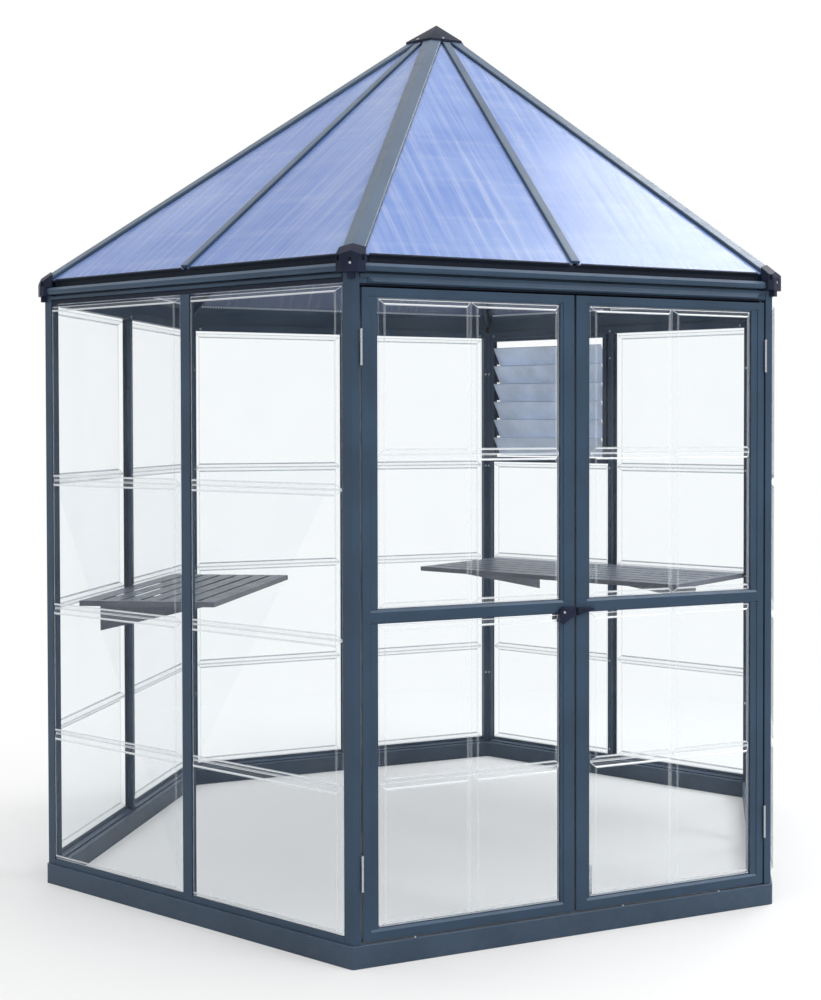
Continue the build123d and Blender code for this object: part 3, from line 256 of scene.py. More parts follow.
def powder_coat(name, colour, roughness=0.33, dust=0.0):
    """Satin powder coat: faint orange peel, slight clouding, a painted sky-light sheen with some
    dust on surfaces that face up, and dust low down.
    """
    mat, nodes, links, shader = new_material(name)
    place = object_place(nodes)
    cloud = noise(nodes, links, place, 6.0, 4.0)
    darker = tuple(0.90 * part for part in colour)
    lighter = tuple(1.12 * part for part in colour)
    tone = blend_colour(nodes, links, ramp(nodes, links, cloud, 0.35, 0.65), darker, lighter)
    # Surfaces that face up are lightened towards a pale blue: painted sky light, with some dust.
    upward = split(nodes, links, nodes.new("ShaderNodeTexCoord").outputs["Normal"])[2]
    ledge_skylight_and_dust = times(nodes, links, ramp(nodes, links, upward, 0.10, 0.75), LEDGE_SKYLIGHT_AND_DUST)
    ledge_skylight_and_dust = times(nodes, links, ledge_skylight_and_dust, ramp(nodes, links, cloud, 0.2, 0.7, 0.7, 1.0))
    tone = blend_colour(nodes, links, ledge_skylight_and_dust, tone, SKYLIGHT_AND_DUST_COLOUR)
    if dust:
        height = split(nodes, links, place)[2]
        low = ramp(nodes, links, height, 0.0, 0.10, 1.0, 0.0)
        speck = ramp(nodes, links, noise(nodes, links, place, 38.0, 5.0, 0.7), 0.46, 0.72)
        share = times(nodes, links, times(nodes, links, low, speck), dust)
        tone = blend_colour(nodes, links, share, tone, DIRT_COLOUR)
    links.new(tone, shader.inputs["Base Color"])
    wear = noise(nodes, links, place, 24.0, 5.0)
    wear = ramp(nodes, links, wear, 0.3, 0.7, roughness - 0.05, roughness + 0.08)
    links.new(wear, shader.inputs["Roughness"])
    peel = noise(nodes, links, place, 900.0, 2.0)
    bump(nodes, links, peel, 0.10, 0.0004, shader)
    shader.inputs["Specular IOR Level"].default_value = 0.32
    shader.inputs["Specular Tint"].default_value = (0.80, 0.90, 1.0, 1)
    return mat


def moulded_plastic():
    """Black moulded plastic with a fine spark-eroded grain."""
    mat, nodes, links, shader = new_material("moulded_plastic")
    place = object_place(nodes)
    tone = blend_colour(
        nodes,
        links,
        ramp(nodes, links, noise(nodes, links, place, 18.0, 5.0), 0.35, 0.7),
        PLASTIC_COLOUR,
        tuple(1.9 * part for part in PLASTIC_COLOUR),
    )
    links.new(tone, shader.inputs["Base Color"])
    shader.inputs["Roughness"].default_value = 0.46
    shader.inputs["Specular IOR Level"].default_value = 0.16
    shader.inputs["Specular Tint"].default_value = (0.70, 0.78, 1.0, 1)
    bump(nodes, links, noise(nodes, links, place, 1500.0, 2.0), 0.16, 0.0004, shader)
    return mat


def black_rubber():
    """Matt black rubber of the seals."""
    mat, nodes, links, shader = new_material("black_rubber")
    place = object_place(nodes)
    links.new(
        blend_colour(
            nodes,
            links,
            noise(nodes, links, place, 60.0, 4.0),
            RUBBER_COLOUR,
            tuple(2.2 * part for part in RUBBER_COLOUR),
        ),
        shader.inputs["Base Color"],
    )
    shader.inputs["Roughness"].default_value = 0.60
    shader.inputs["Specular IOR Level"].default_value = 0.2
    shader.inputs["Specular Tint"].default_value = (0.75, 0.85, 1.0, 1)
    bump(nodes, links, noise(nodes, links, place, 700.0), 0.2, 0.0003, shader)
    return mat


def bright_steel():
    """Zinc-plated steel with fine scratches."""
    mat, nodes, links, shader = new_material("bright_steel")
    place = object_place(nodes)
    shader.inputs["Metallic"].default_value = 1.0
    tone = blend_colour(
        nodes,
        links,
        noise(nodes, links, place, 90.0, 4.0),
        tuple(0.82 * part for part in STEEL_COLOUR),
        STEEL_COLOUR,
    )
    links.new(tone, shader.inputs["Base Color"])
    grain = noise(nodes, links, place, 420.0, 5.0)
    links.new(ramp(nodes, links, grain, 0.3, 0.7, 0.20, 0.38), shader.inputs["Roughness"])
    bump(nodes, links, grain, 0.08, 0.0002, shader)
    return mat


def pane_lean(nodes, links):
    """How a pane's surface leans from its wall, and how far it faces up or down.

    The first value is a cosine: 1 on the fields, 0.7 on the pressed slopes.
    """
    px, py = split(nodes, links, object_place(nodes))[:2]
    nx, ny, nz = split(nodes, links, nodes.new("ShaderNodeTexCoord").outputs["Normal"])
    turns = maths(nodes, links, "DIVIDE", maths(nodes, links, "ARCTAN2", py, px), math.radians(60))
    wall = maths(nodes, links, "ROUND", maths(nodes, links, "SUBTRACT", turns, 0.5))
    azimuth = times(nodes, links, plus(nodes, links, wall, 0.5), math.radians(60))
    along_x = times(nodes, links, nx, maths(nodes, links, "COSINE", azimuth))
    along_y = times(nodes, links, ny, maths(nodes, links, "SINE", azimuth))
    lean = maths(nodes, links, "ABSOLUTE", plus(nodes, links, along_x, along_y))
    return lean, maths(nodes, links, "ABSOLUTE", nz)


def clear_pane():
    """Thin clear sheet: sharp gloss on the fields, with painted highlights as pale lines on the
    rolled bends and faintly on the pressed slopes, strongest where they face up or down.
    """
    mat, nodes, links, shader = new_material("clear_pane")
    place = object_place(nodes)
    shader.inputs["Base Color"].default_value = (*PANE_BODY, 1)
    shader.inputs["Roughness"].default_value = 0.04
    shader.inputs["IOR"].default_value = 1.5
    clear = nodes.new("ShaderNodeBsdfTransparent")
    clear.inputs["Color"].default_value = (*PANE_TINT, 1)
    lean = nodes.new("ShaderNodeLayerWeight")
    lean.inputs["Blend"].default_value = 0.5
    gloss = maths(nodes, links, "POWER", lean.outputs["Facing"], 5.0)
    gloss = plus(nodes, links, times(nodes, links, gloss, 0.5), 0.008)
    flat, rise = pane_lean(nodes, links)
    leaning = ramp(nodes, links, flat, 0.75, 0.82)
    turning = ramp(nodes, links, flat, 0.985, 0.998, 1.0, 0.0)
    # The rolled bends and, faintly, the pressed slopes take more of the pale body, most where they
    # face up or down: painted highlights standing in for reflections of the sky.
    bend = times(nodes, links, leaning, turning)
    bend = times(nodes, links, bend, plus(nodes, links, times(nodes, links, rise, 1.5), 0.10))
    slope = ramp(nodes, links, flat, 0.70, 0.98, 1.0, 0.0)
    slope = times(nodes, links, slope, plus(nodes, links, times(nodes, links, rise, 0.05), 0.005))
    painted_highlight = plus(nodes, links, bend, slope)
    smear = ramp(nodes, links, noise(nodes, links, place, 5.0, 6.0, 0.62), 0.45, 0.80, 0.0, 0.014)
    share = plus(nodes, links, plus(nodes, links, gloss, painted_highlight), smear)
    share = maths(nodes, links, "MINIMUM", share, PANE_BODY_MOST)
    surface_mix(nodes, links, share, clear, shader)
    return mat


def across_slope(nodes, links):
    """Distance across a roof face, square to its fall, then the height and the whole place."""
    place = object_place(nodes)
    px, py, pz = split(nodes, links, place)
    normal = nodes.new("ShaderNodeTexCoord").outputs["Normal"]
    nx, ny = split(nodes, links, normal)[:2]
    cross = maths(
        nodes,
        links,
        "SUBTRACT",
        times(nodes, links, nx, py),
        times(nodes, links, ny, px),
    )
    return maths(nodes, links, "DIVIDE", cross, math.sin(ROOF_PITCH)), pz, place


def twinwall_roof():
    """Twin-wall sheet: ribs down the slope, rain streaks, a bluish body that lets light through,
    and an underside painted darker and less clear as shade.
    """
    mat, nodes, links, shader = new_material("twinwall_roof")
    across, height, place = across_slope(nodes, links)
    ribs = maths(nodes, links, "SINE", times(nodes, links, across, 2 * math.pi / RIB_PITCH))
    ribs = ramp(nodes, links, ribs, -1.0, 1.0)
    combine = nodes.new("ShaderNodeCombineXYZ")
    links.new(times(nodes, links, across, 55.0), combine.inputs[0])
    links.new(times(nodes, links, height, 2.2), combine.inputs[1])
    streaks = noise(nodes, links, combine.outputs[0], 1.0, 5.0, 0.65)
    streaks = ramp(nodes, links, streaks, 0.42, 0.70)
    patches = ramp(nodes, links, noise(nodes, links, place, 2.4, 4.0, 0.55), 0.34, 0.68)
    tone = blend_colour(nodes, links, patches, ROOF_COLOUR, ROOF_PALE)
    tone = blend_colour(nodes, links, times(nodes, links, streaks, 0.34), tone, ROOF_STREAK)
    level = nodes.new("ShaderNodeCombineXYZ")
    links.new(times(nodes, links, across, 2.6), level.inputs[0])
    links.new(times(nodes, links, height, 42.0), level.inputs[1])
    rings = ramp(nodes, links, noise(nodes, links, level.outputs[0], 1.0, 4.0, 0.6), 0.50, 0.74)
    tone = blend_colour(nodes, links, times(nodes, links, rings, 0.16), tone, ROOF_RING)
    tone = blend_colour(nodes, links, times(nodes, links, ribs, 0.10), tone, ROOF_RIB)
    # Faces that look down are painted darker and let less light through: painted shade on the
    # sheets' underside.
    normal = nodes.new("ShaderNodeTexCoord").outputs["Normal"]
    under = ramp(nodes, links, split(nodes, links, normal)[2], -0.3, 0.3, 1.0, 0.0)
    tone = blend_colour(nodes, links, times(nodes, links, under, 0.85), tone, ROOF_UNDERSIDE_SHADE)
    links.new(tone, shader.inputs["Base Color"])
    links.new(ramp(nodes, links, streaks, 0.0, 1.0, 0.18, 0.34), shader.inputs["Roughness"])
    shader.inputs["Specular IOR Level"].default_value = 0.4
    clear = nodes.new("ShaderNodeBsdfTransparent")
    clear.inputs["Color"].default_value = (*ROOF_TINT, 1)
    body = plus(nodes, links, times(nodes, links, under, ROOF_BODY_SHADED_UNDERSIDE), ROOF_BODY)
    surface_mix(nodes, links, body, clear, shader)
    return mat


def louvre_sheet():
    """Frosted twin-wall slats, ribbed across their length."""
    mat, nodes, links, shader = new_material("louvre_sheet")
    place = object_place(nodes)
    px, py = split(nodes, links, place)[:2]
    along = maths(
        nodes,
        links,
        "SUBTRACT",
        times(nodes, links, py, math.cos(math.radians(30))),
        times(nodes, links, px, math.sin(math.radians(30))),
    )
    ribs = maths(nodes, links, "SINE", times(nodes, links, along, 2 * math.pi / LOUVRE_RIB_PITCH))
    ribs = ramp(nodes, links, ribs, -1.0, 1.0)
    tone = blend_colour(
        nodes,
        links,
        ramp(nodes, links, noise(nodes, links, place, 9.0, 4.0), 0.35, 0.7),
        LOUVRE_COLOUR,
        tuple(1.35 * part for part in LOUVRE_COLOUR),
    )
    tone = blend_colour(nodes, links, times(nodes, links, ribs, 0.18), tone, LOUVRE_RIB)
    links.new(tone, shader.inputs["Base Color"])
    shader.inputs["Roughness"].default_value = 0.30
    bump(nodes, links, ribs, 0.2, 0.0005, shader)
    clear = nodes.new("ShaderNodeBsdfTransparent")
    surface_mix(nodes, links, LOUVRE_BODY, clear, shader)
    return mat


def frosted_edge():
    """Cut edge of the twin-wall sheet, milky and bright."""
    mat, nodes, links, shader = new_material("frosted_edge")
    place = object_place(nodes)
    clouds = noise(nodes, links, place, 160.0, 3.0)
    tone = blend_colour(nodes, links, clouds, EDGE_COLOUR, EDGE_PALE)
    links.new(tone, shader.inputs["Base Color"])
    shader.inputs["Roughness"].default_value = 0.28
    bump(nodes, links, noise(nodes, links, place, 500.0), 0.15, 0.0003, shader)
    return mat


# Meshes of the small pieces


SCREW_SIDES = 24
SCREW_TURN = -30


def circle(radius, height, count, turn=0.0):
    """Points round a circle."""
    return [
        Vector(
            (
                radius * math.cos(turn + 2 * math.pi * k / count),
                radius * math.sin(turn + 2 * math.pi * k / count),
                height,
            )
        )
        for k in range(count)
    ]


def cross_ring(reach, half, height):
    """Ring of SCREW_SIDES points round a cross recess."""
    points = []
    for quarter in range(4):
        turn = Matrix.Rotation(math.radians(90 * quarter), 3, "Z")
        for x, y in (
            (half, half),
            (0.5 * (half + reach), half),
            (reach, half),
            (reach, 0),
            (reach, -half),
            (0.5 * (half + reach), -half),
        )[::-1]:
            points.append(turn @ Vector((x, y, height)))
    return points


def skin_rings(bm, rings):
    """Closed skin over rings of points, each ring having as many points as the next."""
    made = [[bm.verts.new(point) for point in ring] for ring in rings]
    for lower, upper in zip(made, made[1:]):
        count = len(lower)
        for k in range(count):
            bm.faces.new((lower[k], lower[(k + 1) % count], upper[(k + 1) % count], upper[k]))
    bm.faces.new(list(reversed(made[0])))
    bm.faces.new(made[-1])


def screw_rings(radius, height):
    """Rings of a pan head with a cross recess, standing on its seat."""
    outline = [(1.0, 0.0), (1.0, 0.35), (0.93, 0.66), (0.76, 0.88), (0.62, 0.96)]
    rings = [
        circle(radius * r, height * h, SCREW_SIDES, math.radians(SCREW_TURN)) for r, h in outline
    ]
    recess = cross_ring(0.46 * radius, 0.10 * radius, 0)
    # The recess starts at its point nearest the first point of the head, so the skin isn't twisted
    aim = Vector((rings[0][0].x, rings[0][0].y, 0)).normalized() * 0.4 * radius
    start = min(range(SCREW_SIDES), key=lambda k: (recess[k] - aim).length)
    recess = recess[start:] + recess[:start]
    rings.append([point + Vector((0, 0, 0.97 * height)) for point in recess])
    rings.append([point * 0.9 + Vector((0, 0, 0.45 * height)) for point in recess])
    return rings


def dome_rings(radius, height):
    """Rings of a domed head with a soft rim."""
    outline = [(0.94, 0.0), (1.0, 0.18), (0.97, 0.42), (0.82, 0.72), (0.55, 0.92), (0.25, 1.0)]
    return [circle(radius * r, height * h, 20) for r, h in outline]


def wall_point(wall, along, distance, height):
    """Point by a wall: along it from its middle, out from the centre, and up."""
    turn = math.radians(-90 + 60 * wall)
    return Vector(
        (
            distance * math.cos(turn) - along * math.sin(turn),
            distance * math.sin(turn) + along * math.cos(turn),
            height,
        )
    )


def sheet_under(distance):
    """Height of the roof sheets' underside."""
    return ROOF_PEAK - (ROOF_RISE / ROOF_FOOT) * distance - SHEET_THICK / math.cos(ROOF_PITCH)


def facing(point, normal, spin=0.0):
    """Place whose Z axis is the given normal."""
    aim = Vector(normal).to_track_quat("Z", "Y").to_matrix().to_4x4()
    return Matrix.Translation(point) @ aim @ Matrix.Rotation(spin, 4, "Z")


def outward(wall):
    """Direction a wall faces. Wall 0 holds the doors, and the count runs anticlockwise."""
    turn = math.radians(-90 + 60 * wall)
    return Vector((math.cos(turn), math.sin(turn), 0))


def add_piece(name, bm, material, body="greenhouse"):
    """Turns a mesh into a named piece that rides on a body."""
    mesh = bpy.data.meshes.new(name)
    bmesh.ops.recalc_face_normals(bm, faces=bm.faces)
    bm.to_mesh(mesh)
    bm.free()
    mesh.materials.append(material)
    piece = bpy.data.objects.new(name, mesh)
    bpy.context.scene.collection.objects.link(piece)
    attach(piece, body)


def add_screws(name, places, radius, height, material, body="greenhouse", dome=False):
    """One piece holding a head at each place."""
    bm = bmesh.new()
    rings = dome_rings(radius, height) if dome else screw_rings(radius, height)
    for place in places:
        skin_rings(bm, [[place @ point for point in ring] for ring in rings])
    add_piece(name, bm, material, body)


def swept_bar(bm, outline, start, finish):
    """A bar of a given outline between two points. The outline's X lies across, its Y upward."""
    ahead = (finish - start).normalized()
    across = ahead.cross(Vector((0, 0, 1))).normalized()
    rise = across.cross(ahead)
    skin_rings(bm, [[end + across * x + rise * y for x, y in outline] for end in (start, finish)])


def rounded_outline(width, height, radius, steps):
    """Rounded rectangle about its middle."""
    points = []
    for cx, cy, begin in (
        (width / 2 - radius, height / 2 - radius, 0),
        (-width / 2 + radius, height / 2 - radius, 90),
        (-width / 2 + radius, -height / 2 + radius, 180),
        (width / 2 - radius, -height / 2 + radius, 270),
    ):
        for k in range(steps + 1):
            turn = math.radians(begin + 90 * k / steps)
            points.append((cx + radius * math.cos(turn), cy + radius * math.sin(turn)))
    return points


# Dressing of the model's own nodes


BEVELS = {
    "base_kerb": 0.0012,
    "corner_posts": 0.0008,
    "mullions": 0.0004,
    "bottom_rails": 0.0005,
    "top_rails": 0.0007,
    "door_header": 0.0007,
    "gutters": 0.0005,
    "gutter_corners": 0.0012,
    "hip_bars": 0.0012,
    "mid_bars": 0.0009,
    "crown_cap": 0.0012,
    "door_frame_left": 0.0008,
    "door_frame_right": 0.0008,
    "door_handle": 0.0008,
    "handle_keeper": 0.0006,
    "drop_bolt": 0.0006,
    "louvre_frame": 0.0007,
    "louvre_holders": 0.0005,
    "louvre_slats": 0.0008,
    "shelf_left": 0.0005,
    "shelf_right": 0.0005,
    "shelf_arms": 0.0005,
}


def modifier_tree(name):
    """An empty tree for a Geometry Nodes modifier, with its input and output nodes."""
    tree = bpy.data.node_groups.new(name, "GeometryNodeTree")
    tree.interface.new_socket("Geometry", in_out="INPUT", socket_type="NodeSocketGeometry")
    tree.interface.new_socket("Geometry", in_out="OUTPUT", socket_type="NodeSocketGeometry")
    return tree, tree.nodes.new("NodeGroupInput"), tree.nodes.new("NodeGroupOutput")


def flat_faces():
    """Modifier tree that shades every face flat, so that bends show crisply."""
    tree = bpy.data.node_groups.get("flat_faces")
    if tree:
        return tree
    tree, start, finish = modifier_tree("flat_faces")
    shade = tree.nodes.new("GeometryNodeSetShadeSmooth")
    shade.inputs["Shade Smooth"].default_value = False
    tree.links.new(start.outputs["Geometry"], shade.inputs["Geometry"])
    tree.links.new(shade.outputs["Geometry"], finish.inputs["Geometry"])
    return tree


def join_faces(node):
    """Joins a node's triangles into whole flat faces, so that only real edges get a bevel."""
    weld = node.modifiers.new("weld", "WELD")
    weld.merge_threshold = 0.00002
    flat = node.modifiers.new("flat", "DECIMATE")
    flat.decimate_type = "DISSOLVE"
    flat.angle_limit = math.radians(0.5)


def soften(node, width):
    """Rounds a node's sharp edges, leaving its own mesh alone."""
    join_faces(node)
    if node.name != "crown_cap":
        node.modifiers.new("flat_faces", "NODES").node_group = flat_faces()
    edge = node.modifiers.new("edge", "BEVEL")
    edge.width = width
    edge.segments = 2
    edge.limit_method = "ANGLE"
    edge.angle_limit = math.radians(25)
    edge.use_clamp_overlap = True


def bend_panes(node, wall):
    """Rolls the sharp bends of a pane's pressing, wider on the fields than in the grooves."""
    aim = outward(wall)
    reach = max(vertex.co.dot(aim) for vertex in node.data.vertices)
    tree, start, finish = modifier_tree(node.name + "_bends")
    nodes, links = tree.nodes, tree.links
    angle = nodes.new("GeometryNodeInputMeshEdgeAngle").outputs["Unsigned Angle"]
    sharp = maths(nodes, links, "GREATER_THAN", angle, math.radians(20))
    blunt = maths(nodes, links, "LESS_THAN", angle, math.radians(75))
    depth = nodes.new("ShaderNodeVectorMath")
    depth.operation = "DOT_PRODUCT"
    links.new(nodes.new("GeometryNodeInputPosition").outputs[0], depth.inputs[0])
    depth.inputs[1].default_value = aim
    proud = maths(nodes, links, "GREATER_THAN", depth.outputs["Value"], reach - FIELD_DEPTH)
    width = plus(nodes, links, times(nodes, links, proud, 0.60), 0.40)
    weight = times(nodes, links, times(nodes, links, sharp, blunt), width)
    store = nodes.new("GeometryNodeStoreNamedAttribute")
    store.data_type = "FLOAT"
    store.domain = "EDGE"
    store.inputs["Name"].default_value = "bevel_weight_edge"
    links.new(start.outputs["Geometry"], store.inputs["Geometry"])
    links.new(weight, store.inputs["Value"])
    links.new(store.outputs["Geometry"], finish.inputs["Geometry"])
    join_faces(node)
    node.modifiers.new("flat_faces", "NODES").node_group = flat_faces()
    node.modifiers.new("bends", "NODES").node_group = tree
    edge = node.modifiers.new("edge", "BEVEL")
    edge.width = PANE_BEND
    edge.segments = 3
    edge.limit_method = "WEIGHT"
    edge.use_clamp_overlap = True


PANE_WALLS = {
    "door_panes_left": 0,
    "door_panes_right": 0,
    "panes_right": 1,
    "panes_right_back": 2,
    "panes_back": 3,
    "panes_left_back": 4,
    "panes_left_front": 5,
}


def drill_covers(node):
    """Sinks the screw's seat and a drain hole in each corner cover."""
    tree, start, finish = modifier_tree("cover_holes")
    nodes, links = tree.nodes, tree.links
    drills = nodes.new("GeometryNodeJoinGeometry")
    for height, radius, depth in (
        (COVER_SCREW_HEIGHT, COVER_SEAT_RADIUS, SCREW_SINK),
        (COVER_DRAIN_HEIGHT, COVER_DRAIN_RADIUS, COVER_DRAIN_DEPTH),
    ):
        bar = nodes.new("GeometryNodeMeshCylinder")
        bar.inputs["Vertices"].default_value = 28
        bar.inputs["Radius"].default_value = radius
        bar.inputs["Depth"].default_value = 2 * depth
        lay = nodes.new("GeometryNodeTransform")
        lay.inputs["Translation"].default_value = (FACET_RADIUS, 0, height)
        lay.inputs["Rotation"].default_value = (0, math.radians(90), 0)
        links.new(bar.outputs["Mesh"], lay.inputs["Geometry"])
        for corner in range(6):
            turn = nodes.new("GeometryNodeTransform")
            turn.inputs["Rotation"].default_value = (0, 0, math.radians(60 * corner))
            links.new(lay.outputs["Geometry"], turn.inputs["Geometry"])
            links.new(turn.outputs["Geometry"], drills.inputs["Geometry"])
    cut = nodes.new("GeometryNodeMeshBoolean")
    cut.operation = "DIFFERENCE"
    links.new(start.outputs["Geometry"], cut.inputs["Mesh 1"])
    links.new(drills.outputs["Geometry"], cut.inputs["Mesh 2"])
    links.new(cut.outputs["Mesh"], finish.inputs["Geometry"])
    node.modifiers.new("holes", "NODES").node_group = tree


def dress_nodes(frame, looks):
    """Gives each node of the model its material by the record's slots."""
    by_slot = {
        "dark_frame": looks["frame"],
        "black_plastic": looks["plastic"],
        "bright_metal": looks["steel"],
        "clear_sheet": looks["pane"],
        "twinwall_sheet": looks["roof"],
        "shelf_metal": looks["shelf"],
    }
    own = {
        "base_kerb": looks["kerb"],
        "louvre_slats": looks["louvre"],
        "pane_seals": looks["rubber"],
        # The header seal is given black rubber: partly a real seal, partly painted shade in the gap
        # above the doors.
        "header_seal": looks["rubber"],
    }
    for part in frame["record"]["subparts"]:
        name = part["node"]
        node = frame["nodes"][name]
        for slot in node.material_slots:
            slot.material = own.get(name, by_slot[part["material_slot"]])
        if name in BEVELS:
            soften(node, BEVELS[name])
        if name in PANE_WALLS:
            bend_panes(node, PANE_WALLS[name])
        if name == "gutter_corners":
            drill_covers(node)


# Small pieces


def add_cover_screws(looks):
    """A sunk screw on the front of each corner cover."""
    places = []
    for corner in range(6):
        turn = math.radians(60 * corner)
        out = Vector((math.cos(turn), math.sin(turn), 0))
        seat = out * (FACET_RADIUS - SCREW_SINK) + Vector((0, 0, COVER_SCREW_HEIGHT))
        places.append(facing(seat, out, 0.4 * corner))
    add_screws("cover_screws", places, 0.0038, 0.0019, looks["steel"])


def add_crown_screws(looks):
    """One screw on each face of the crown."""
    lean = math.atan(CROWN_SLOPE)
    height = CROWN_TIP - CROWN_SLOPE * (CROWN_SCREW_DISTANCE - CROWN_TIP_HALF)
    places = []
    for wall in range(6):
        normal = outward(wall) * math.sin(lean) + Vector((0, 0, math.cos(lean)))
        point = wall_point(wall, CROWN_SCREW_ALONG, CROWN_SCREW_DISTANCE, height)
        places.append(facing(point, normal, 0.5 * wall))
    add_screws("crown_screws", places, 0.0042, 0.0018, looks["steel"])


def add_rail_screws(looks):
    """Screws on the inner faces of the head rails and posts."""
    places = []
    for wall in range(6):
        inward = -outward(wall)
        for along in (-RAIL_SCREW_ALONG, 0.0, RAIL_SCREW_ALONG):
            point = wall_point(wall, along, FRAME_BACK, RAIL_SCREW_HEIGHT)
            places.append(facing(point, inward, along * 9))
        if wall:
            for along in (-POST_SCREW_ALONG, POST_SCREW_ALONG):
                for height in POST_SCREW_HEIGHTS:
                    point = wall_point(wall, along, FRAME_BACK, height)
                    places.append(facing(point, inward, height * 5))
    add_screws("rail_screws", places, 0.0042, 0.0022, looks["steel"])


def add_mullion_screws(looks):
    """Small bright screws through the mullions, seen through the panes."""
    places = []
    for wall in range(1, 6):
        inward = -outward(wall)
        for height in MULLION_SCREW_HEIGHTS:
            places.append(facing(wall_point(wall, 0.0, FRAME_BACK, height), inward, height * 7))
    add_screws("mullion_screws", places, 0.0036, 0.0020, looks["steel"])


def add_door_studs(looks):
    """Small steel studs on the kerb that the closed leaves glide over."""
    places = [
        facing(wall_point(0, along, STUD_DISTANCE, KERB_TOP), (0, 0, 1))
        for along in STUD_ALONG
    ]
    add_screws("door_studs", places, 0.0042, 0.0030, looks["steel"], dome=True)


def add_door_screws(looks):
    """Screws on the handle, the inner face of each leaf by its edges, and the drop bolt."""
    add_screws(
        "handle_screw",
        [facing(Vector(HANDLE_SCREW), (0, -1, 0), 0.5)],
        0.0034,
        0.0016,
        looks["steel"],
        body="left_door",
    )
    for side, body in ((-1, "left_door"), (1, "right_door")):
        places = []
        for along in LEAF_SCREW_ALONG:
            for height in LEAF_SCREW_HEIGHTS:
                point = wall_point(0, side * along, FRAME_BACK, height)
                places.append(facing(point, (0, 1, 0), height * 6))
        add_screws(body + "_screws", places, 0.0036, 0.0018, looks["steel"], body=body)
    add_screws(
        "bolt_screws",
        [facing(Vector(place), (0, 1, 0), place[2] * 9) for place in BOLT_SCREWS],
        0.0026,
        0.0012,
        looks["steel"],
        body="right_door",
    )


def add_shelf_screws(looks):
    """One screw at each end of every shelf slat."""
    places = []
    for wall, inner, ends in SHELVES:
        outer = FRAME_BACK - 0.0003
        pitch = (outer - inner) / SHELF_SLATS
        for end, step in ((ends[0], 1), (ends[1], -1)):
            for slat in range(SHELF_SLATS):
                middle = inner + pitch * (slat + 0.5)
                along = end + step * SHELF_SCREW_INSET
                point = wall_point(wall, along, middle, SHELF_TOP)
                places.append(facing(point, (0, 0, 1), slat))
    add_screws("shelf_screws", places, 0.0040, 0.0020, looks["steel"])


def add_roof_edges(looks):
    """Milky comb of cell walls under the foot of each twin-wall sheet, inside the seat."""
    bm = bmesh.new()
    fall = Vector((0, 0, -math.tan(ROOF_PITCH)))
    outline = rounded_outline(CELL_WIDTH, CELL_HEIGHT, CELL_CORNER, 2)
    distance = SEAT_INNER - CELL_SETBACK
    for wall in range(6):
        out = outward(wall)
        for side in (-1, 1):
            along = CELL_FIRST
            while along < CELL_LAST:
                start = wall_point(wall, side * along, distance, 0)
                start.z = sheet_under(distance) - CELL_HEIGHT / 2
                swept_bar(bm, outline, start, start + (out + fall) * CELL_LENGTH)
                along += CELL_PITCH
    add_piece("roof_sheet_cells", bm, looks["edge"])


def swept_strip(bm, profile, wall, ends):
    """A strip along a wall, its profile given as distances and heights."""
    skin_rings(
        bm,
        [
            [wall_point(wall, along, distance, height) for distance, height in profile]
            for along in ends
        ],
    )


def add_eave_seals_and_shade_filler(looks):
    """Black rubber filler behind the gutter's trough, partly a real seal and partly painted shade
    that darkens the band between the gutter's lip and the sheets, and a cap along the foot of the
    sheets.
    """
    bm = bmesh.new()
    # The filler fills the band between the gutter's lip and the sheets' foot with black: partly a
    # seal, partly painted shade of that recess.
    filler = [
        (1.0378, 1.7420),
        (1.0403, 1.7424),
        (1.0410, 1.7440),
        (1.0410, 1.7600),
        (1.0416, 1.7630),
        (1.0404, 1.7652),
        (1.0378, 1.7668),
    ]
    down = (math.cos(ROOF_PITCH), -math.sin(ROOF_PITCH))
    rise = (math.sin(ROOF_PITCH), math.cos(ROOF_PITCH))
    cap = [
        (
            ROOF_FOOT + along * down[0] + above * rise[0],
            ROOF_PEAK - ROOF_RISE + along * down[1] + above * rise[1],
        )
        for along, above in (
            (-0.0045, 0.0001),
            (-0.0044, 0.0007),
            (0.0008, 0.0007),
            (0.0015, 0.0001),
            (0.0015, -0.0043),
            (0.0008, -0.0049),
            (-0.0044, -0.0049),
            (-0.0045, -0.0041),
            (0.0001, -0.0041),
            (0.0001, 0.0001),
        )
    ]
    for wall in range(6):
        swept_strip(bm, filler, wall, (-EAVE_SEAL_HALF, EAVE_SEAL_HALF))
        swept_strip(bm, cap, wall, (-EAVE_SEAL_HALF, -EAVE_SEAL_BREAK))
        swept_strip(bm, cap, wall, (EAVE_SEAL_BREAK, EAVE_SEAL_HALF))
    add_piece("eave_seals_and_shade_filler", bm, looks["rubber"])


def add_door_stop_and_shade_lip(looks):
    """Rubber lip behind the top of the leaves, hung from the back of the header: partly a real door
    stop, partly painted shade that darkens the gap above the leaves.
    """
    bm = bmesh.new()
    profile = [
        (1.0270, 1.6985),
        (1.0270, 1.6940),
        (1.0261, 1.6925),
        (1.0259, 1.6796),
        (1.0253, 1.6788),
        (1.0243, 1.6790),
        (1.0238, 1.6800),
        (1.0236, 1.6920),
        (1.0240, 1.6985),
    ]
    swept_strip(bm, profile, 0, (-DOOR_STOP_HALF, DOOR_STOP_HALF))
    add_piece("door_stop_shade_lip", bm, looks["rubber"])


def add_hinge_caps(looks):
    """Domed caps at the ends of the hinge barrels."""
    for side in (-1, 1):
        jamb, leaf = [], []
        for centre in HINGE_HEIGHTS:
            foot = Vector((side * HINGE_ALONG, -HINGE_DISTANCE, centre - HINGE_HALF))
            head = Vector((side * HINGE_ALONG, -HINGE_DISTANCE, centre + HINGE_HALF))
            jamb.append(facing(foot, (0, 0, -1)))
            leaf.append(facing(head, (0, 0, 1)))
        name = "left" if side < 0 else "right"
        for piece, places, body in (
            ("hinge_feet_" + name, jamb, "greenhouse"),
            ("hinge_caps_" + name, leaf, name + "_door"),
        ):
            add_screws(piece, places, 0.0030, 0.0016, looks["steel"], body, dome=True)


# Studio


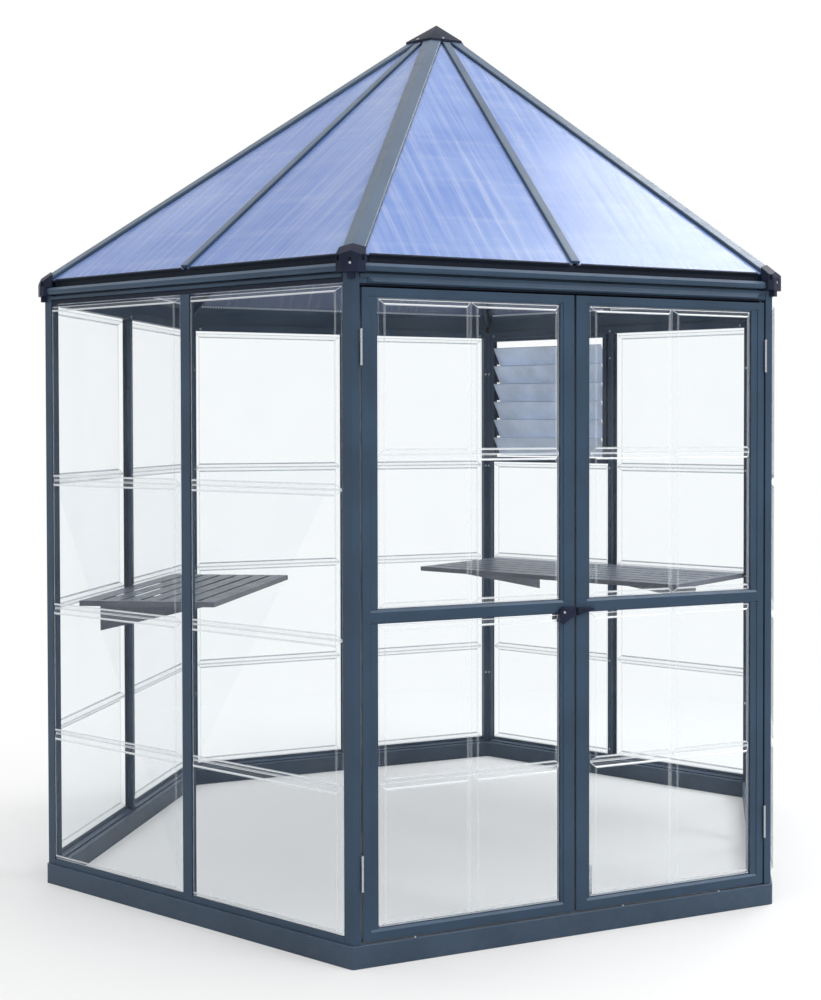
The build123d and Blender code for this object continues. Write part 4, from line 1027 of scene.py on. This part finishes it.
def add_stage():
    """Pale floor that turns white away from the greenhouse where the camera sees it."""
    bm = bmesh.new()
    bmesh.ops.create_grid(bm, x_segments=8, y_segments=8, size=FLOOR_HALF)
    mesh = bpy.data.meshes.new("floor")
    bm.to_mesh(mesh)
    bm.free()
    floor = bpy.data.objects.new("floor", mesh)
    bpy.context.scene.collection.objects.link(floor)
    mat, nodes, links, shader = new_material("floor")
    shader.inputs["Base Color"].default_value = (*FLOOR_COLOUR, 1)
    shader.inputs["Roughness"].default_value = 0.9
    white = nodes.new("ShaderNodeEmission")
    white.inputs["Color"].default_value = (1, 1, 1, 1)
    distance = nodes.new("ShaderNodeVectorMath")
    distance.operation = "LENGTH"
    links.new(object_place(nodes), distance.inputs[0])
    far = ramp(nodes, links, distance.outputs["Value"], 1.25, 2.6)
    far = plus(nodes, links, times(nodes, links, far, 0.75), 0.25)
    share = times(nodes, links, seen_rays(nodes, links), far)
    surface_mix(nodes, links, share, shader, white)
    mesh.materials.append(mat)


def seen_rays(nodes, links):
    """1 for camera, mirror and glass rays, 0 for the rays that light the object."""
    path = nodes.new("ShaderNodeLightPath")
    share = maths(
        nodes, links, "MAXIMUM", path.outputs["Is Camera Ray"], path.outputs["Is Glossy Ray"]
    )
    return maths(nodes, links, "MAXIMUM", share, path.outputs["Is Transmission Ray"])


def add_lamp(name, place, target, size, power):
    """Square soft lamp aimed at a point."""
    data = bpy.data.lights.new(name, "AREA")
    data.shape = "RECTANGLE"
    data.size, data.size_y = size
    data.energy = power
    lamp = bpy.data.objects.new(name, data)
    lamp.location = place
    lamp.rotation_mode = "QUATERNION"
    lamp.rotation_quaternion = (Vector(target) - Vector(place)).to_track_quat("-Z", "Y")
    bpy.context.scene.collection.objects.link(lamp)


def add_light():
    """Pale studio: a world that is white where it is seen, and three soft lamps."""
    world = bpy.data.worlds.new("studio")
    bpy.context.scene.world = world
    world.use_nodes = True
    nodes, links = world.node_tree.nodes, world.node_tree.links
    back = nodes["Background"]
    back.inputs["Color"].default_value = (1, 1, 1, 1)
    upward = split(nodes, links, nodes.new("ShaderNodeTexCoord").outputs["Generated"])[2]
    high = maths(nodes, links, "POWER", ramp(nodes, links, upward, 0.0, 1.0), 2.0)
    sky = plus(nodes, links, times(nodes, links, high, 1.35), 0.32)
    seen = seen_rays(nodes, links)
    unseen = maths(nodes, links, "SUBTRACT", 1.0, seen)
    strength = plus(nodes, links, times(nodes, links, sky, unseen), seen)
    links.new(strength, back.inputs["Strength"])
    for lamp in LAMPS:
        add_lamp(*lamp)


def add_camera():
    """The photograph's camera."""
    data = bpy.data.cameras.new("camera")
    data.lens = CAMERA_LENS
    data.shift_x, data.shift_y = CAMERA_SHIFT
    camera = bpy.data.objects.new("camera", data)
    camera.location = CAMERA_PLACE
    camera.rotation_euler = (math.radians(90 + CAMERA_PITCH), 0, math.radians(-CAMERA_YAW))
    bpy.context.scene.collection.objects.link(camera)
    bpy.context.scene.camera = camera


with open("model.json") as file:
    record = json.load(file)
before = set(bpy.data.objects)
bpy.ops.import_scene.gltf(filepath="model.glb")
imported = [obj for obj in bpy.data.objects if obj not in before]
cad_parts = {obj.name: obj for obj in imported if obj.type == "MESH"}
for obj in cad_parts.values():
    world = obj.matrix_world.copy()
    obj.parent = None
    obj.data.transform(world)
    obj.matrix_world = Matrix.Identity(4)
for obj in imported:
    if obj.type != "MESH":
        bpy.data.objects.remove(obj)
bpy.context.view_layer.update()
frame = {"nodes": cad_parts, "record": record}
bpy.context.scene.view_settings.view_transform = "Standard"
bpy.context.scene.cycles.transparent_max_bounces = 32
looks = {
    "frame": powder_coat("powder_coat", FRAME_COLOUR),
    "kerb": powder_coat("kerb_coat", KERB_COLOUR, 0.36, 0.12),
    "shelf": powder_coat("shelf_coat", SHELF_COLOUR, 0.36),
    "plastic": moulded_plastic(),
    "rubber": black_rubber(),
    "steel": bright_steel(),
    "pane": clear_pane(),
    "roof": twinwall_roof(),
    "louvre": louvre_sheet(),
    "edge": frosted_edge(),
}
dress_nodes(frame, looks)
add_cover_screws(looks)
add_crown_screws(looks)
add_rail_screws(looks)
add_mullion_screws(looks)
add_door_studs(looks)
add_door_screws(looks)
add_shelf_screws(looks)
add_roof_edges(looks)
add_eave_seals_and_shade_filler(looks)
add_door_stop_and_shade_lip(looks)
add_hinge_caps(looks)
add_stage()
add_light()
add_camera()
